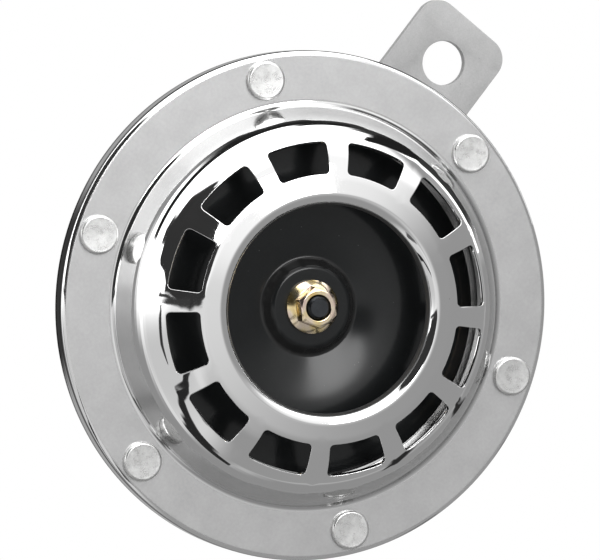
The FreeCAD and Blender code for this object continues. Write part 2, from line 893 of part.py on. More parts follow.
def make_armature_stud():
    """The screw through the middle: its head sits in the armature, its tip takes the nut."""
    body = new_body("armature_stud")
    radius, head = size("stud_radius"), size("stud_head_radius")
    chamfer = size("stud_tip_chamfer")
    seat = armature_back + size("stud_head_height")
    section = [
        (0.0, armature_back),
        (head, armature_back),
        (head, seat),
        (radius, seat),
        (radius, stud_tip - chamfer),
        (radius - chamfer, stud_tip),
        (0.0, stud_tip),
    ]
    turned(body, closed_sketch(body, "Section", XZ, section))


def make_vibrating_rings():
    washer, hole = size("washer_radius"), stud_hole_radius
    ring_body("diaphragm_front_washer", hole, washer, diaphragm_front, front_washer_top)
    ring_body("diaphragm_rear_washer", hole, washer, armature_front, diaphragm_back)
    ring_body("tone_disc_spacer", hole, size("spacer_radius"), front_washer_top, tone_boss_back)


def make_armature():
    """The soft iron disc that the magnet pulls, with a recess for the screw's head."""
    body = new_body("armature")
    outer, chamfer = size("armature_radius"), size("armature_chamfer")
    recess = size("stud_head_radius") + size("stud_clearance")
    seat = armature_back + size("stud_head_height")
    section = [
        (recess, armature_back),
        (outer - chamfer, armature_back),
        (outer, armature_back + chamfer),
        (outer, armature_front - chamfer),
        (outer - chamfer, armature_front),
        (stud_hole_radius, armature_front),
        (stud_hole_radius, seat),
        (recess, seat),
    ]
    turned(body, closed_sketch(body, "Section", XZ, section))


# Magnet: core with the mounting stud, coil and plate

def make_core_stud():
    """The magnet's core, turned in one with the thread that carries the whole horn."""
    body = new_body("core_stud")
    core, thread = size("core_radius"), size("mount_stud_radius")
    chamfer, end_chamfer = size("core_chamfer"), size("mount_stud_chamfer")
    section = [
        (0.0, mount_stud_end),
        (thread - end_chamfer, mount_stud_end),
        (thread, mount_stud_end + end_chamfer),
        (thread, housing_floor),
        (core, housing_floor),
        (core, core_front - chamfer),
        (core - chamfer, core_front),
        (0.0, core_front),
    ]
    turned(body, closed_sketch(body, "Section", XZ, section))


def make_coil():
    body = new_body("coil_bobbin")
    inner = size("core_radius") + size("bobbin_clearance")
    tube = inner + size("bobbin_wall")
    flange, thick = bobbin_flange_radius, size("bobbin_flange")
    section = [
        (inner, housing_floor),
        (flange, housing_floor),
        (flange, housing_floor + thick),
        (tube, housing_floor + thick),
        (tube, ledge_front - thick),
        (flange, ledge_front - thick),
        (flange, ledge_front),
        (inner, ledge_front),
    ]
    turned(body, closed_sketch(body, "Section", XZ, section))
    winding_inner = tube + size("bobbin_clearance")
    winding_outer = flange - size("winding_inset")
    bottom, top = housing_floor + thick, ledge_front - thick
    ring_body("coil_winding", winding_inner, winding_outer, bottom, top)


def make_pole_plate():
    """The steel plate on the ledge: it closes the magnet and carries the contact breaker."""
    body = new_body("pole_plate")
    radius = ledge_outer_radius - size("plate_inset")
    cut_off = neck_top - size("plate_neck_gap")
    reach = math.sqrt(float(radius) ** 2 - float(cut_off) ** 2)
    outline = Outline()
    left, right = point(-reach, -cut_off), point(reach, -cut_off)
    arc = outline.arc(point(0, 0), radius, right, left)
    flat = outline.edge(Part.LineSegment(left, right))
    outline.rule("Coincident", arc, CENTRE, *ROOT_POINT)
    outline.rule("Radius", arc, number=radius)
    outline.rule("Coincident", arc, END, flat, START)
    outline.rule("Coincident", arc, START, flat, END)
    outline.rule("Horizontal", flat)
    outline.rule("DistanceY", *ROOT_POINT, flat, START, number=-cut_off)
    padded(body, outline.write(body, "Shape", XY), ledge_front, plate_front)
    drilled(body, "PoleHole", size("armature_radius") - size("pole_overlap"))
    plate_rivet_holes(body)
    contact_rivet_holes(body)
    drilled(body, "BushHole", bush_hole_radius, screw_x, screw_y)


def rivet_group(name, places, radius, head, height, low, high):
    """Rivets with a head at both ends, as separate solids, one at each place."""
    form = doc.addObject("PartDesign::Body", f"{name}_form")
    head_round = size("small_head_round")
    section = [
        (0.0, low - height),
        (head, low - height, head_round),
        (head, low),
        (radius, low),
        (radius, high),
        (head, high),
        (head, high + height, head_round),
        (0.0, high + height),
    ]
    turned(form, closed_sketch(form, "Section", XZ, section))
    group = doc.addObject("Part::Feature", name)
    group.Label = name
    copies = []
    for x, y in places:
        copy = form.Shape.copy()
        copy.translate(point(x, y))
        copies.append(copy)
    group.Shape = Part.makeCompound(copies)
    parts.append((group, None))


def make_plate_rivets():
    rivet_group(
        "pole_plate_rivets",
        plate_rivet_places(),
        size("plate_rivet_radius"),
        size("plate_rivet_head_radius"),
        size("plate_rivet_head_height"),
        ledge_back,
        plate_front,
    )


# Contact breaker

def make_contact_breaker():
    half = size("contact_width") / 2
    inner, outer = contact_stack_inner, contact_stack_outer

    leaf_tip = size("armature_radius") - size("leaf_underlap")
    leaf = box_corners(leaf_tip, outer, -half, half)
    contact_rivet_holes(plate_body("contact_spring", leaf, leaf_back, leaf_front))

    arm_tip = contact_point_place - size("arm_overhang")
    wing_inner, wing_outer = screw_x - size("arm_wing_edge"), screw_x + size("arm_wing_edge")
    wing_end = screw_y - size("arm_wing_edge")
    arm = [
        (arm_tip, -half),
        (wing_inner, -half),
        (wing_inner, wing_end),
        (wing_outer, wing_end),
        (wing_outer, -half),
        (outer, -half),
        (outer, half),
        (arm_tip, half),
    ]
    contact_rivet_holes(plate_body("fixed_contact_arm", arm, arm_back, arm_front))

    proud = size("insulator_overhang")
    pad = box_corners(inner - proud, outer + proud, -half - proud, half + proud)
    for name, bottom, top in (
        ("base_insulator", plate_front, leaf_back),
        ("middle_insulator", leaf_front, arm_back),
        ("top_insulator", arm_front, contact_stack_top),
    ):
        contact_rivet_holes(plate_body(name, pad, bottom, top))

    rivet_group(
        "contact_rivets",
        [(x, 0.0) for x in contact_rivet_places],
        size("contact_rivet_radius"),
        size("contact_rivet_head_radius"),
        size("contact_rivet_head_height"),
        ledge_back,
        contact_stack_top,
    )

    for name, bottom, top in (
        ("moving_contact", leaf_front, contact_meeting),
        ("fixed_contact", contact_meeting, arm_back),
    ):
        body = new_body(name)
        button = circle_sketch(body, "Shape", size("contact_point_radius"), contact_point_place)
        padded(body, button, bottom, top)


def make_adjuster():
    """The screw behind the ledge that sets the fixed contact, in a bush riveted through."""
    x, y = screw_x, screw_y
    bush_back = ledge_back - size("bush_flange")
    bush_top = plate_front + size("bush_upstand")

    bush = new_body("adjuster_bush")
    padded(bush, circle_sketch(bush, "Barrel", size("bush_radius"), x, y), bush_back, bush_top)
    flange = circle_sketch(bush, "Flange", size("bush_flange_radius"), x, y)
    padded(bush, flange, bush_back, ledge_back, "FlangePad")
    drilled(bush, "Bore", size("screw_radius") + size("stud_clearance"), x, y)

    screw = new_body("adjusting_screw")
    head_front = bush_back - size("screw_stand_off")
    head_back = head_front - size("screw_head_height")
    tip = arm_back - size("screw_cap_height")
    padded(screw, circle_sketch(screw, "Shank", size("screw_radius"), x, y), head_back, tip)
    head = circle_sketch(screw, "Head", size("screw_head_radius"), x, y)
    padded(screw, head, head_back, head_front, "HeadPad")
    reach = size("screw_head_radius") + size("cut_overshoot")
    half = size("screw_slot_width") / 2
    slot = closed_sketch(screw, "SlotSketch", XY, box_corners(x - reach, x + reach, y - half, y + half))
    slot.setExpression(".AttachmentOffset.Base.z", formula_of(head_back + size("screw_slot_depth")))
    before = screw.Shape.Volume
    cut = screw.newObject("PartDesign::Pocket", "DriverSlot")
    cut.Profile = slot
    cut.Type = "ThroughAll"
    doc.recompute()
    check_cut(screw, "DriverSlot", before)

    cap = new_body("adjuster_cap")
    padded(cap, circle_sketch(cap, "Shape", size("screw_cap_radius"), x, y), tip, arm_back)


# Terminals

def make_terminals():
    block = new_body("terminal_block")
    width = size("block_half_width")
    block_back = ledge_back - size("block_height")
    outer = box_corners(-width, width, -block_bottom, -block_top, size("block_round"))
    padded(block, closed_sketch(block, "Shape", XY, outer), block_back, ledge_back)
    neck = box_corners(-neck_half_width, neck_half_width, -neck_bottom, -neck_top)
    neck_front = ledge_front + size("neck_upstand")
    padded(block, closed_sketch(block, "Neck", XY, neck), ledge_back, neck_front, "NeckPad")
    blade_middle = -(neck_top + neck_bottom) / 2
    half_thick = size("blade_thickness") / 2
    half_wide = size("blade_width") / 2
    for side, name in ((-1, "LeftBladeSlot"), (1, "RightBladeSlot")):
        middle = size("blade_spacing") / 2 * side
        slot = box_corners(
            middle - half_wide,
            middle + half_wide,
            blade_middle - half_thick,
            blade_middle + half_thick,
        )
        pocketed(block, closed_sketch(block, f"{name}Sketch", XY, slot), name)
        terminal_rivet_hole(block, side)

    blades = doc.addObject("PartDesign::Body", "blade_form")
    chamfer = size("blade_chamfer")
    tip = block_back - size("blade_length")
    top = neck_front + size("blade_inner_length")
    blade = [
        (-half_wide + chamfer, tip),
        (half_wide - chamfer, tip),
        (half_wide, tip + chamfer),
        (half_wide, top),
        (-half_wide, top),
        (-half_wide, tip + chamfer),
    ]
    pad = blades.newObject("PartDesign::Pad", "Blade")
    pad.Profile = closed_sketch(blades, "Shape", XZ, blade)
    pad.SideType = "Symmetric"
    bind(pad, "Length", size("blade_thickness"))
    doc.recompute()
    group = doc.addObject("Part::Feature", "spade_terminals")
    group.Label = "spade_terminals"
    copies = []
    for side in (-1, 1):
        copy = blades.Shape.copy()
        copy.translate(point(size("blade_spacing") / 2 * side, blade_middle))
        copies.append(copy)
    group.Shape = Part.makeCompound(copies)
    parts.append((group, None))

    rivet_group(
        "terminal_rivets",
        [(terminal_rivet_x * side, -terminal_rivet_y) for side in (-1, 1)],
        size("terminal_rivet_radius"),
        size("terminal_rivet_head_radius"),
        size("terminal_rivet_head_height"),
        block_back,
        ledge_front,
    )


# Bracket and what clamps it

def make_bracket():
    """A flat steel strip with a round foot on the stud and the fixing hole at its far end."""
    body = new_body("mounting_bracket")
    half = size("bracket_width") / 2
    foot_round = half - size("bracket_foot_flat") / 2
    end = size("bracket_reach") + size("bracket_end")
    corner = size("bracket_corner")
    strip = [
        (-half, -half, foot_round),
        (half, -half, foot_round),
        (half, end, corner),
        (-half, end, corner),
    ]
    padded(body, closed_sketch(body, "Strip", XY, strip), bracket_back, bracket_front)
    drilled(body, "StudHole", mount_hole_radius)
    drilled(body, "FixingHole", size("bracket_hole_radius"), y=size("bracket_reach"))


def make_bracket_fixings():
    ring_body(
        "backing_washer", mount_hole_radius, size("backing_radius"), bracket_front, housing_back
    )
    loose = size("mount_stud_radius") + size("washer_clearance")
    ring_body("flat_washer", loose, size("flat_washer_radius"), flat_washer_back, bracket_back)

    split = new_body("spring_washer")
    outer = size("spring_washer_radius")
    section = box_corners(loose, outer, spring_washer_back, flat_washer_back)
    turned(split, closed_sketch(split, "Section", XZ, section))
    half_gap = size("spring_washer_gap") / 2
    half_lean = size("spring_washer_thickness") / 2
    overshoot = size("cut_overshoot")
    slit = [
        (-half_gap - half_lean, spring_washer_back - overshoot),
        (half_gap - half_lean, spring_washer_back - overshoot),
        (half_gap + half_lean, flat_washer_back + overshoot),
        (-half_gap + half_lean, flat_washer_back + overshoot),
    ]
    before = split.Shape.Volume
    cut = split.newObject("PartDesign::Pocket", "Slit")
    cut.Profile = closed_sketch(split, "SlitSketch", XZ, slit)
    bind(cut, "Length", outer + overshoot)
    doc.recompute()
    check_cut(split, "Slit", before)

    nut = new_body("bracket_nut")
    across = size("big_nut_across_flats")
    hexagon(nut, across, big_nut_back, spring_washer_back)
    corners_chamfered(nut, across, big_nut_back, -1, "BackChamfer")
    corners_chamfered(nut, across, spring_washer_back, 1, "FrontChamfer")
    drilled(nut, "Bore", size("mount_stud_radius") + size("stud_clearance"))


make_grille_cover()
make_flange_rivets()
make_gaskets()
make_diaphragm()
make_housing()
make_tone_disc()
make_tone_disc_nut()
make_armature_stud()
make_vibrating_rings()
make_armature()
make_core_stud()
make_coil()
make_pole_plate()
make_plate_rivets()
make_contact_breaker()
make_adjuster()
make_terminals()
make_bracket()
make_bracket_fixings()

# The finished horn stands on its bracket's hole, mouth to -Y

stand_up = FreeCAD.Rotation(FreeCAD.Vector(1, 0, 0), 90)
hole_centre = FreeCAD.Vector(0, float(bracket_middle), -float(size("bracket_reach")))
for item, turn in parts:
    spin = FreeCAD.Rotation(OUTWARD, -float(turn) if turn is not None else 0.0)
    item.Placement = FreeCAD.Placement(hole_centre, stand_up.multiply(spin))
doc.recompute()

for item in doc.Objects:
    if "Invalid" in item.State or "Error" in item.State:
        raise ValueError(f"{item.Name} failed: {item.State}")
for item, turn in parts:
    if item.Shape.isNull() or not item.Shape.isValid():
        raise ValueError(f"{item.Label} has no valid shape")
    item.Shape.exportStep(f"parts/{item.Label}.step")
    box = item.Shape.BoundBox
    print(f"{item.Label}: {len(item.Shape.Solids)} solid(s), {item.Shape.Volume:.1f} mm3,",
          f"{box.XLength:.1f} x {box.YLength:.1f} x {box.ZLength:.1f} mm")
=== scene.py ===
# %% [markdown]
# # A disc horn for its portrait
# The horn is a thin pressed cover, riveted round its rim, with a black tone disc in its mouth
# and a flat bracket behind it. The solids come from the frame, in metres. What shows and what
# shines is made again here with softer edges, real threads and smooth curves for reflections,
# and each piece lies where its solid lies.

import math

import bmesh
import bpy
import numpy as np
from mathutils import Matrix, Vector


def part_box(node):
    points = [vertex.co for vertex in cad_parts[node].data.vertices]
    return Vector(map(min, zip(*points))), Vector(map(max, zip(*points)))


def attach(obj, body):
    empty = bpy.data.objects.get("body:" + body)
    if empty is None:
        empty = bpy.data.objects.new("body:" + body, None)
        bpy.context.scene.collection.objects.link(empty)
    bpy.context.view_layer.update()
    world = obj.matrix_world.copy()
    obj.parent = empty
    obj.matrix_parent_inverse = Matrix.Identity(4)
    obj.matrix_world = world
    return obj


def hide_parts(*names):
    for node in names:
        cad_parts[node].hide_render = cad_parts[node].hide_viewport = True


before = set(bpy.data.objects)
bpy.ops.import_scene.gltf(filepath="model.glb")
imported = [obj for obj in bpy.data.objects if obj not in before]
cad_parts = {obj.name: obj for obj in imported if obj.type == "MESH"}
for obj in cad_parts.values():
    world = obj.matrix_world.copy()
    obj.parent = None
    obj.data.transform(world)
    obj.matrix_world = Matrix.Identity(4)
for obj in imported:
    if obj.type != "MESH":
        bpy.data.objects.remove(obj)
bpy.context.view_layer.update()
print("solids:", len(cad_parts))

# %% [markdown]
# ## The horn's own frame
# A round thing is easiest to draw round its own axis. In the horn's frame the unit is the
# millimetre, z comes out of the mouth and starts at the flat face of the flange, and y runs up
# along the bracket. Angles go clockwise from y, as on a clock seen from the front. One matrix
# then takes a finished mesh to its place.

# %% The horn's frame
SHEET = 0.8
axis_height = sum(corner.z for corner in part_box("tone_disc")) / 2
flange_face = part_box("front_gasket")[0].y - SHEET / 1000
TO_FRAME = (
    Matrix.Translation((0, flange_face, axis_height))
    @ Matrix.Rotation(math.radians(90), 4, "X")
    @ Matrix.Scale(0.001, 4)
)
COVER_ANGLE = 10.2


def clock(radius, angle, z=0.0):
    """The point at a radius and at an angle in degrees, clockwise from the bracket."""
    turn = math.radians(angle)
    return Vector((radius * math.sin(turn), radius * math.cos(turn), z))


def link(name, data):
    """A new object in the scene, at the origin, with a mesh, lamp, camera or curve as its data."""
    made = bpy.data.objects.new(name, data)
    bpy.context.scene.collection.objects.link(made)
    return made


print("axis", round(axis_height, 4), "flange", round(flange_face, 5))

# %% [markdown]
# ## Camera
# The photo looks at the horn from the left, 18.7 degrees off its axis, with a long lens, and
# the horn is turned 38 degrees on its bracket. So the camera stands 1.2 m away on that line
# and leans to the side by the same angle. The last value says where the middle of the flange
# lies in the picture, to the right of its centre and above it.

# %% Camera
SIGHT_TILT = 18.74
SIGHT_CLOCK = -120.2
ROLL_CLOCK = -38.66
DISTANCE = 1.2
SENSOR, LENS = 36, 329.8
FLANGE_IN_VIEW = Vector((1.60, -5.70)) / 1000


def direction(tilt, angle):
    """A direction in the frame, tilted off the horn's axis towards a clock angle."""
    lean = math.radians(tilt)
    outward = clock(math.sin(lean), angle, math.cos(lean))
    return (TO_FRAME.to_3x3() @ outward).normalized()


sight = direction(SIGHT_TILT, SIGHT_CLOCK)
upward = direction(90, ROLL_CLOCK)
upward = (upward - upward.dot(sight) * sight).normalized()
rightward = upward.cross(sight)
horn_centre = TO_FRAME @ Vector((0, 0, 0))
camera = link("camera", bpy.data.cameras.new("camera"))
camera.data.sensor_width, camera.data.lens = SENSOR, LENS
aim = horn_centre - FLANGE_IN_VIEW.x * rightward - FLANGE_IN_VIEW.y * upward
turn = Matrix((rightward, upward, sight)).transposed()
camera.matrix_world = Matrix.Translation(aim + sight * DISTANCE) @ turn.to_4x4()
camera.data.clip_start, camera.data.clip_end = 0.01, 50
bpy.context.scene.camera = camera
bpy.context.scene.view_settings.view_transform = "Standard"
print("camera", [round(v, 4) for v in camera.location])

# %% [markdown]
# ## Nodes by name
# Materials and Geometry Nodes are both trees of nodes. A few small helpers keep them readable.
# The first adds a node and fills its inputs, each by a number, a colour or the output of
# another node, and the rest are built on it.

# %% Tree helpers
def add(tree, kind, inputs=None, **settings):
    """Adds a node, sets its properties, and fills inputs given by name or place."""
    made = tree.nodes.new(kind)
    for key, value in settings.items():
        setattr(made, key, value)
    for key, value in (inputs or {}).items():
        if isinstance(value, bpy.types.NodeSocket):
            tree.links.new(value, made.inputs[key])
        else:
            made.inputs[key].default_value = value
    return made


def math_node(tree, operation, *values, clamp=False):
    made = add(tree, "ShaderNodeMath", dict(enumerate(values)), operation=operation)
    made.use_clamp = clamp
    return made.outputs[0]


def blend_colours(tree, factor, first, second, mode="MIX"):
    inputs = {0: factor, 6: first, 7: second}
    return add(tree, "ShaderNodeMix", inputs, data_type="RGBA", blend_type=mode).outputs[2]


def steps(tree, value, low, high, to_low=0.0, to_high=1.0):
    """Stretches a value from one range to another and stops at the ends."""
    inputs = {"Value": value, "From Min": low, "From Max": high}
    inputs.update({"To Min": to_low, "To Max": to_high})
    return add(tree, "ShaderNodeMapRange", inputs).outputs[0]


def grey(value):
    return (value, value, value, 1.0)


def new_finish(name, **settings):
    """A material, its tree and its shader, with the sockets that stay the same all over."""
    made = bpy.data.materials.new(name)
    made.use_nodes = True
    shader = made.node_tree.nodes["Principled BSDF"]
    for key, value in settings.items():
        shader.inputs[key.replace("_", " ")].default_value = value
    return made, made.node_tree, shader


def feed(tree, shader, **sockets):
    for key, value in sockets.items():
        tree.links.new(value, shader.inputs[key.replace("_", " ")])


def group(name, inputs, output):
    """An empty shader group with named numbers as inputs and one as output, and its two ends."""
    tree = bpy.data.node_groups.new(name, "ShaderNodeTree")
    for key, value in inputs.items():
        made = tree.interface.new_socket(key, in_out="INPUT", socket_type="NodeSocketFloat")
        made.default_value = value
    tree.interface.new_socket(output, in_out="OUTPUT", socket_type="NodeSocketFloat")
    given = tree.nodes.new("NodeGroupInput").outputs
    return tree, given, tree.nodes.new("NodeGroupOutput").inputs[output]


# %% [markdown]
# ## Studio
# Chrome has no colour of its own: it shows the room. The room here is plain white, with an
# evenly lit floor far below. A large soft box hangs above, grey walls stand to the right,
# below and behind, and a few dark things get in the way: screens, stands and cables. Each is
# a curved board that only mirrors can see, placed from where its mark on the chrome points.
# Two lamps light what is satin or painted, and stand nearer than the boards.

# %% Room and floor
AMBIENT = 0.62
world = bpy.data.worlds.new("white_room")
world.use_nodes = True
bpy.context.scene.world = world
room = world.node_tree
room.nodes.clear()
rays = add(room, "ShaderNodeLightPath").outputs
seen = math_node(room, "MAXIMUM", rays["Is Camera Ray"], rays["Is Glossy Ray"])
seen = math_node(room, "MAXIMUM", seen, rays["Is Transmission Ray"])
shade = blend_colours(room, seen, grey(AMBIENT), grey(1.0))
backdrop = add(room, "ShaderNodeBackground", {"Color": shade, "Strength": 1.0})
add(room, "ShaderNodeOutputWorld", {"Surface": backdrop.outputs[0]})

FLOOR_DROP = 0.30
FLOOR_HALF = 3.0
floor_z = axis_height - FLOOR_DROP
floor_mesh = bpy.data.meshes.new("floor")
signs = ((-1, -1), (1, -1), (1, 1), (-1, 1))
corners = [(x * FLOOR_HALF, y * FLOOR_HALF, floor_z) for x, y in signs]
floor_mesh.from_pydata(corners, [], [(0, 1, 2, 3)])
floor_mesh.materials.append(new_finish("floor_paint", Base_Color=grey(0.82), Roughness=0.9)[0])
floor = link("floor", floor_mesh)
floor.visible_glossy = False
print("floor at", round(floor_z, 4))

# %% Lamps
# Where the photo's top lies on the clock round the horn's axis.
PHOTO_UP = -38.3


def lamp(name, tilt, angle, distance, width, height, watts, roll=0.0):
    """A soft lamp that looks at the horn, tilted off its axis towards an angle from the photo's top."""
    light = bpy.data.lights.new(name, "AREA")
    light.shape = "RECTANGLE"
    light.size, light.size_y, light.energy = width, height, watts
    holder = link(name, light)
    way = direction(tilt, PHOTO_UP + angle)
    holder.matrix_world = (
        Matrix.Translation(horn_centre + way * distance)
        @ way.to_track_quat("Z", "Y").to_matrix().to_4x4()
        @ Matrix.Rotation(math.radians(roll), 4, "Z")
    )


lamp("window", 19.2, 24.6, 2.2, 0.86, 0.66, 15.5, -PHOTO_UP)
lamp("ceiling", 55, -10, 2.2, 1.4, 1.1, 6)
print("lamps:", len(bpy.data.lights))

# %% Boards for the mirror
ROOM = 3.0
CARD_ROWS, CARD_COLUMNS = 24, 60


def melted(mesh, value, direct):
    """Gives a board an even glow that melts away where its cover attribute falls to nothing.

    A direct board shows in the first reflection only, not in a mirrored flange.
    """
    paint = bpy.data.materials.new(mesh.name)
    paint.use_nodes = True
    tree = paint.node_tree
    tree.nodes.clear()
    share = add(tree, "ShaderNodeAttribute", attribute_name="cover").outputs["Fac"]
    if direct:
        bounce = add(tree, "ShaderNodeLightPath").outputs["Ray Depth"]
        share = math_node(tree, "MULTIPLY", share, math_node(tree, "LESS_THAN", bounce, 1.5))
    plain = add(tree, "ShaderNodeEmission", {"Color": grey(1.0), "Strength": value})
    clear = add(tree, "ShaderNodeBsdfTransparent")
    mixed = add(tree, "ShaderNodeMixShader", {0: share, 1: clear.outputs[0], 2: plain.outputs[0]})
    add(tree, "ShaderNodeOutputMaterial", {"Surface": mixed.outputs[0]})
    mesh.materials.append(paint)


def board(name, rows, value, distance, direct=False):
    """A curved board from rows of (tilt, angle, cover), seen only in reflections."""
    width = len(rows[0])
    spots = [
        horn_centre + direction(tilt, PHOTO_UP + angle) * distance * ROOM
        for row in rows
        for tilt, angle, _ in row
    ]
    faces = []
    for row in range(len(rows) - 1):
        for column in range(width - 1):
            at = row * width + column
            faces.append((at, at + 1, at + width + 1, at + width))
    mesh = bpy.data.meshes.new(name)
    mesh.from_pydata(spots, [], faces)
    cover = [part * part * (3 - 2 * part) for row in rows for _, _, part in row]
    mesh.attributes.new("cover", "FLOAT", "POINT").data.foreach_set("value", cover)
    melted(mesh, value, direct)
    made = link(name, mesh)
    for kind in ("camera", "diffuse", "transmission", "volume_scatter", "shadow"):
        setattr(made, f"visible_{kind}", False)


def card(name, tilts, angles, value, fade=(0.0, 0.0, 0.0, 0.0), distance=1.0, skew=0.0):
    """A card between two tilts off the horn's axis and two angles from the photo's top.

    fade is how many degrees each edge takes to melt away: inner, outer, first and last side.
    skew is how many degrees later the first side starts at the inner edge.
    """
    rows = []
    for row in range(CARD_ROWS + 1):
        tilt = tilts[0] + (tilts[1] - tilts[0]) * row / CARD_ROWS
        first = angles[0] + skew * (1 - row / CARD_ROWS)
        spots = []
        for column in range(CARD_COLUMNS + 1):
            angle = first + (angles[1] - first) * column / CARD_COLUMNS
            inside = (tilt - tilts[0], tilts[1] - tilt, angle - first, angles[1] - angle)
            parts = [min(1.0, far / width) for far, width in zip(inside, fade) if width]
            spots.append((tilt, angle, math.prod(parts)))
        rows.append(spots)
    board(name, rows, value, distance)


def streak(name, path, value, distance=0.8, soft=0.5, direct=False):
    """A dark line in the room along (tilt, angle, half width), soft at its sides."""
    rows = []
    for at, (tilt, angle, half) in enumerate(path):
        before, after = path[max(0, at - 1)], path[min(len(path) - 1, at + 1)]
        run_tilt = after[0] - before[0]
        run_angle = (after[1] - before[1]) * math.sin(math.radians(tilt))
        length = math.hypot(run_tilt, run_angle)
        spots = []
        for share in (-1.0, -1.0 + soft, 0.0, 1.0 - soft, 1.0):
            side_tilt = -run_angle / length * half * share
            side_angle = run_tilt / length * half * share / math.sin(math.radians(tilt))
            part = 0.0 if abs(share) == 1.0 else 1.0
            spots.append((tilt + side_tilt, angle + side_angle, part))
        rows.append(spots)
    board(name, rows, value, distance, direct)


# %% The cards
card("soft_box", (0.5, 70), (250, 450), 1.4, (0, 0, 25, 50), 1.15)
card("soft_box_skirt", (40, 108), (248, 440), 3.2, (30, 2, 45, 0), 1.1)
card("light_wall", (22, 98), (200, 275), 0.80, (10, 4, 36, 25), 1.05)
card("grey_wall", (0.5, 102), (20, 214), 0.42, (34, 4, 25, 20), skew=60)
card("under_wall", (99, 151), (75, 350), 0.38, (3, 0, 8, 30), 1.22)
card("night_wall", (107, 151), (318, 442), 0.05, (2, 0, 30, 10), 1.2)
card("back_wall", (151, 172), (0, 360), 0.45, (3, 3, 0, 0), 1.08)
card("back_room", (151, 172), (215, 330), 0.05, (3, 3, 25, 30), 1.05)
print("cards:", sum("cover" in mesh.attributes for mesh in bpy.data.meshes))

# %% The dark streaks
doorway = [(96, 292, 1), (98.5, 303, 3), (100.5, 322, 3.5), (105.5, 342, 3.5)]
doorway += [(108, 359, 3.5), (109, 373, 3.5), (111, 390, 2)]
streak("doorway", doorway, 0.02, 0.9, 0.3)
dark_screen = [(3, 300, 3), (10, 302, 9), (30, 303, 18), (50, 304, 25)]
dark_screen += [(66, 303, 28), (74, 299, 24), (80, 293, 14), (83, 288, 3)]
streak("dark_screen", dark_screen, 0.045, 0.9, 0.1, direct=True)
screen_arm = [(36, 302, 8), (29, 306, 12), (20, 325, 8), (15.5, 360, 4)]
screen_arm += [(14.5, 380, 2.5), (14.5, 396, 1.5), (17, 413, 0.7)]
streak("screen_arm", screen_arm, 0.045, 0.88, 0.1, direct=True)
stand = [(24, 232, 1), (40, 232, 2), (56, 229, 2.5), (74, 229, 4)]
stand += [(86, 222, 5), (94, 213, 5), (98, 204, 3), (101, 194, 1)]
far_corner = [(92, 33, 1), (96, 35, 3), (101, 38, 5.5), (106, 42, 6.5), (112, 47, 6), (118, 51, 3)]
streak("cable", [(10, 262, 1.5), (25, 268, 2), (45, 271, 1.2), (66, 273, 1.5), (72, 274, 1.5)], 0.06)
streak("stand", stand, 0.03, soft=0.3)
streak("stand_foot", [(66, 270, 1), (70, 262, 4), (73, 252, 4), (71, 243, 1)], 0.04)
streak("tripod", [(28, 204, 1), (40, 207, 4), (52, 211, 3.5), (66, 213, 1)], 0.14)
streak("far_foot", [(86, 134, 1), (93, 136, 5), (100, 138, 4), (106, 142, 1)], 0.03)
streak("near_foot", [(98, 116, 1), (108, 117, 2), (118, 116, 3), (124, 114, 1)], 0.03)
streak("far_corner", far_corner, 0.02, 0.86, 0.2)
print("cards and streaks:", sum("cover" in mesh.attributes for mesh in bpy.data.meshes))

# %% [markdown]
# ## Drawn sheet and turned pieces
# Almost every piece of a disc horn is a section turned round the axis. `rounded` puts an arc
# in each corner of such a section, fine enough for a mirror finish, and `turned` spins it.
# Points worked out in code give exact radii and even quads, and a sheet's skin then gets its
# thickness from Solidify.

# %% Sections
ARC_STEP = math.radians(7)


def rounded(corners, step=ARC_STEP, loop=False):
    """A run of (r, z) points with an arc wherever a corner (r, z, radius) gives a radius."""
    spots = [Vector(corner[:2]) for corner in corners]
    run = []
    for at, corner in enumerate(corners):
        if len(corner) < 3 or (not loop and at in (0, len(corners) - 1)):
            run.append(spots[at])
            continue
        into = (spots[at] - spots[at - 1]).normalized()
        out = (spots[(at + 1) % len(spots)] - spots[at]).normalized()
        bend = math.atan2(into.x * out.y - into.y * out.x, into.dot(out))
        side = 1 if bend > 0 else -1
        start = spots[at] - into * (corner[2] * math.tan(abs(bend) / 2))
        middle = start + Vector((-into.y, into.x)) * corner[2] * side
        count = max(2, math.ceil(abs(bend) / step))
        for part in range(count + 1):
            run.append(middle + Matrix.Rotation(bend * part / count, 2) @ (start - middle))
    return run


def spaced(run, longest, edge=0.12):
    """Splits long stretches, with a short step at each end so that shading stays crisp."""
    filled = [run[0]]
    for first, last in zip(run, run[1:]):
        length = (last - first).length
        if length > 3 * edge:
            parts = max(1, math.ceil(length / longest))
            inside = [edge + (length - 2 * edge) * k / parts for k in range(parts + 1)]
            filled += [first.lerp(last, reach / length) for reach in inside]
        filled.append(last)
    return filled


# %% Mesh helpers
SKIN, SOLID, LOOP = "skin", "solid", "loop"


def mesh_of(name, spots, faces):
    mesh = bpy.data.meshes.new(name)
    mesh.from_pydata([tuple(spot) for spot in spots], [], faces)
    return mesh


def tidy(mesh, sharp=35.0, outwards=True):
    """Merges doubles, points the faces outwards and marks the sharp edges."""
    shape = bmesh.new()
    shape.from_mesh(mesh)
    bmesh.ops.remove_doubles(shape, verts=shape.verts, dist=1e-5)
    bmesh.ops.dissolve_degenerate(shape, edges=shape.edges, dist=1e-6)
    if outwards:
        bmesh.ops.recalc_face_normals(shape, faces=shape.faces)
    shape.to_mesh(mesh)
    shape.free()
    mesh.shade_smooth()
    mesh.set_sharp_from_angle(angle=math.radians(sharp))
    return mesh


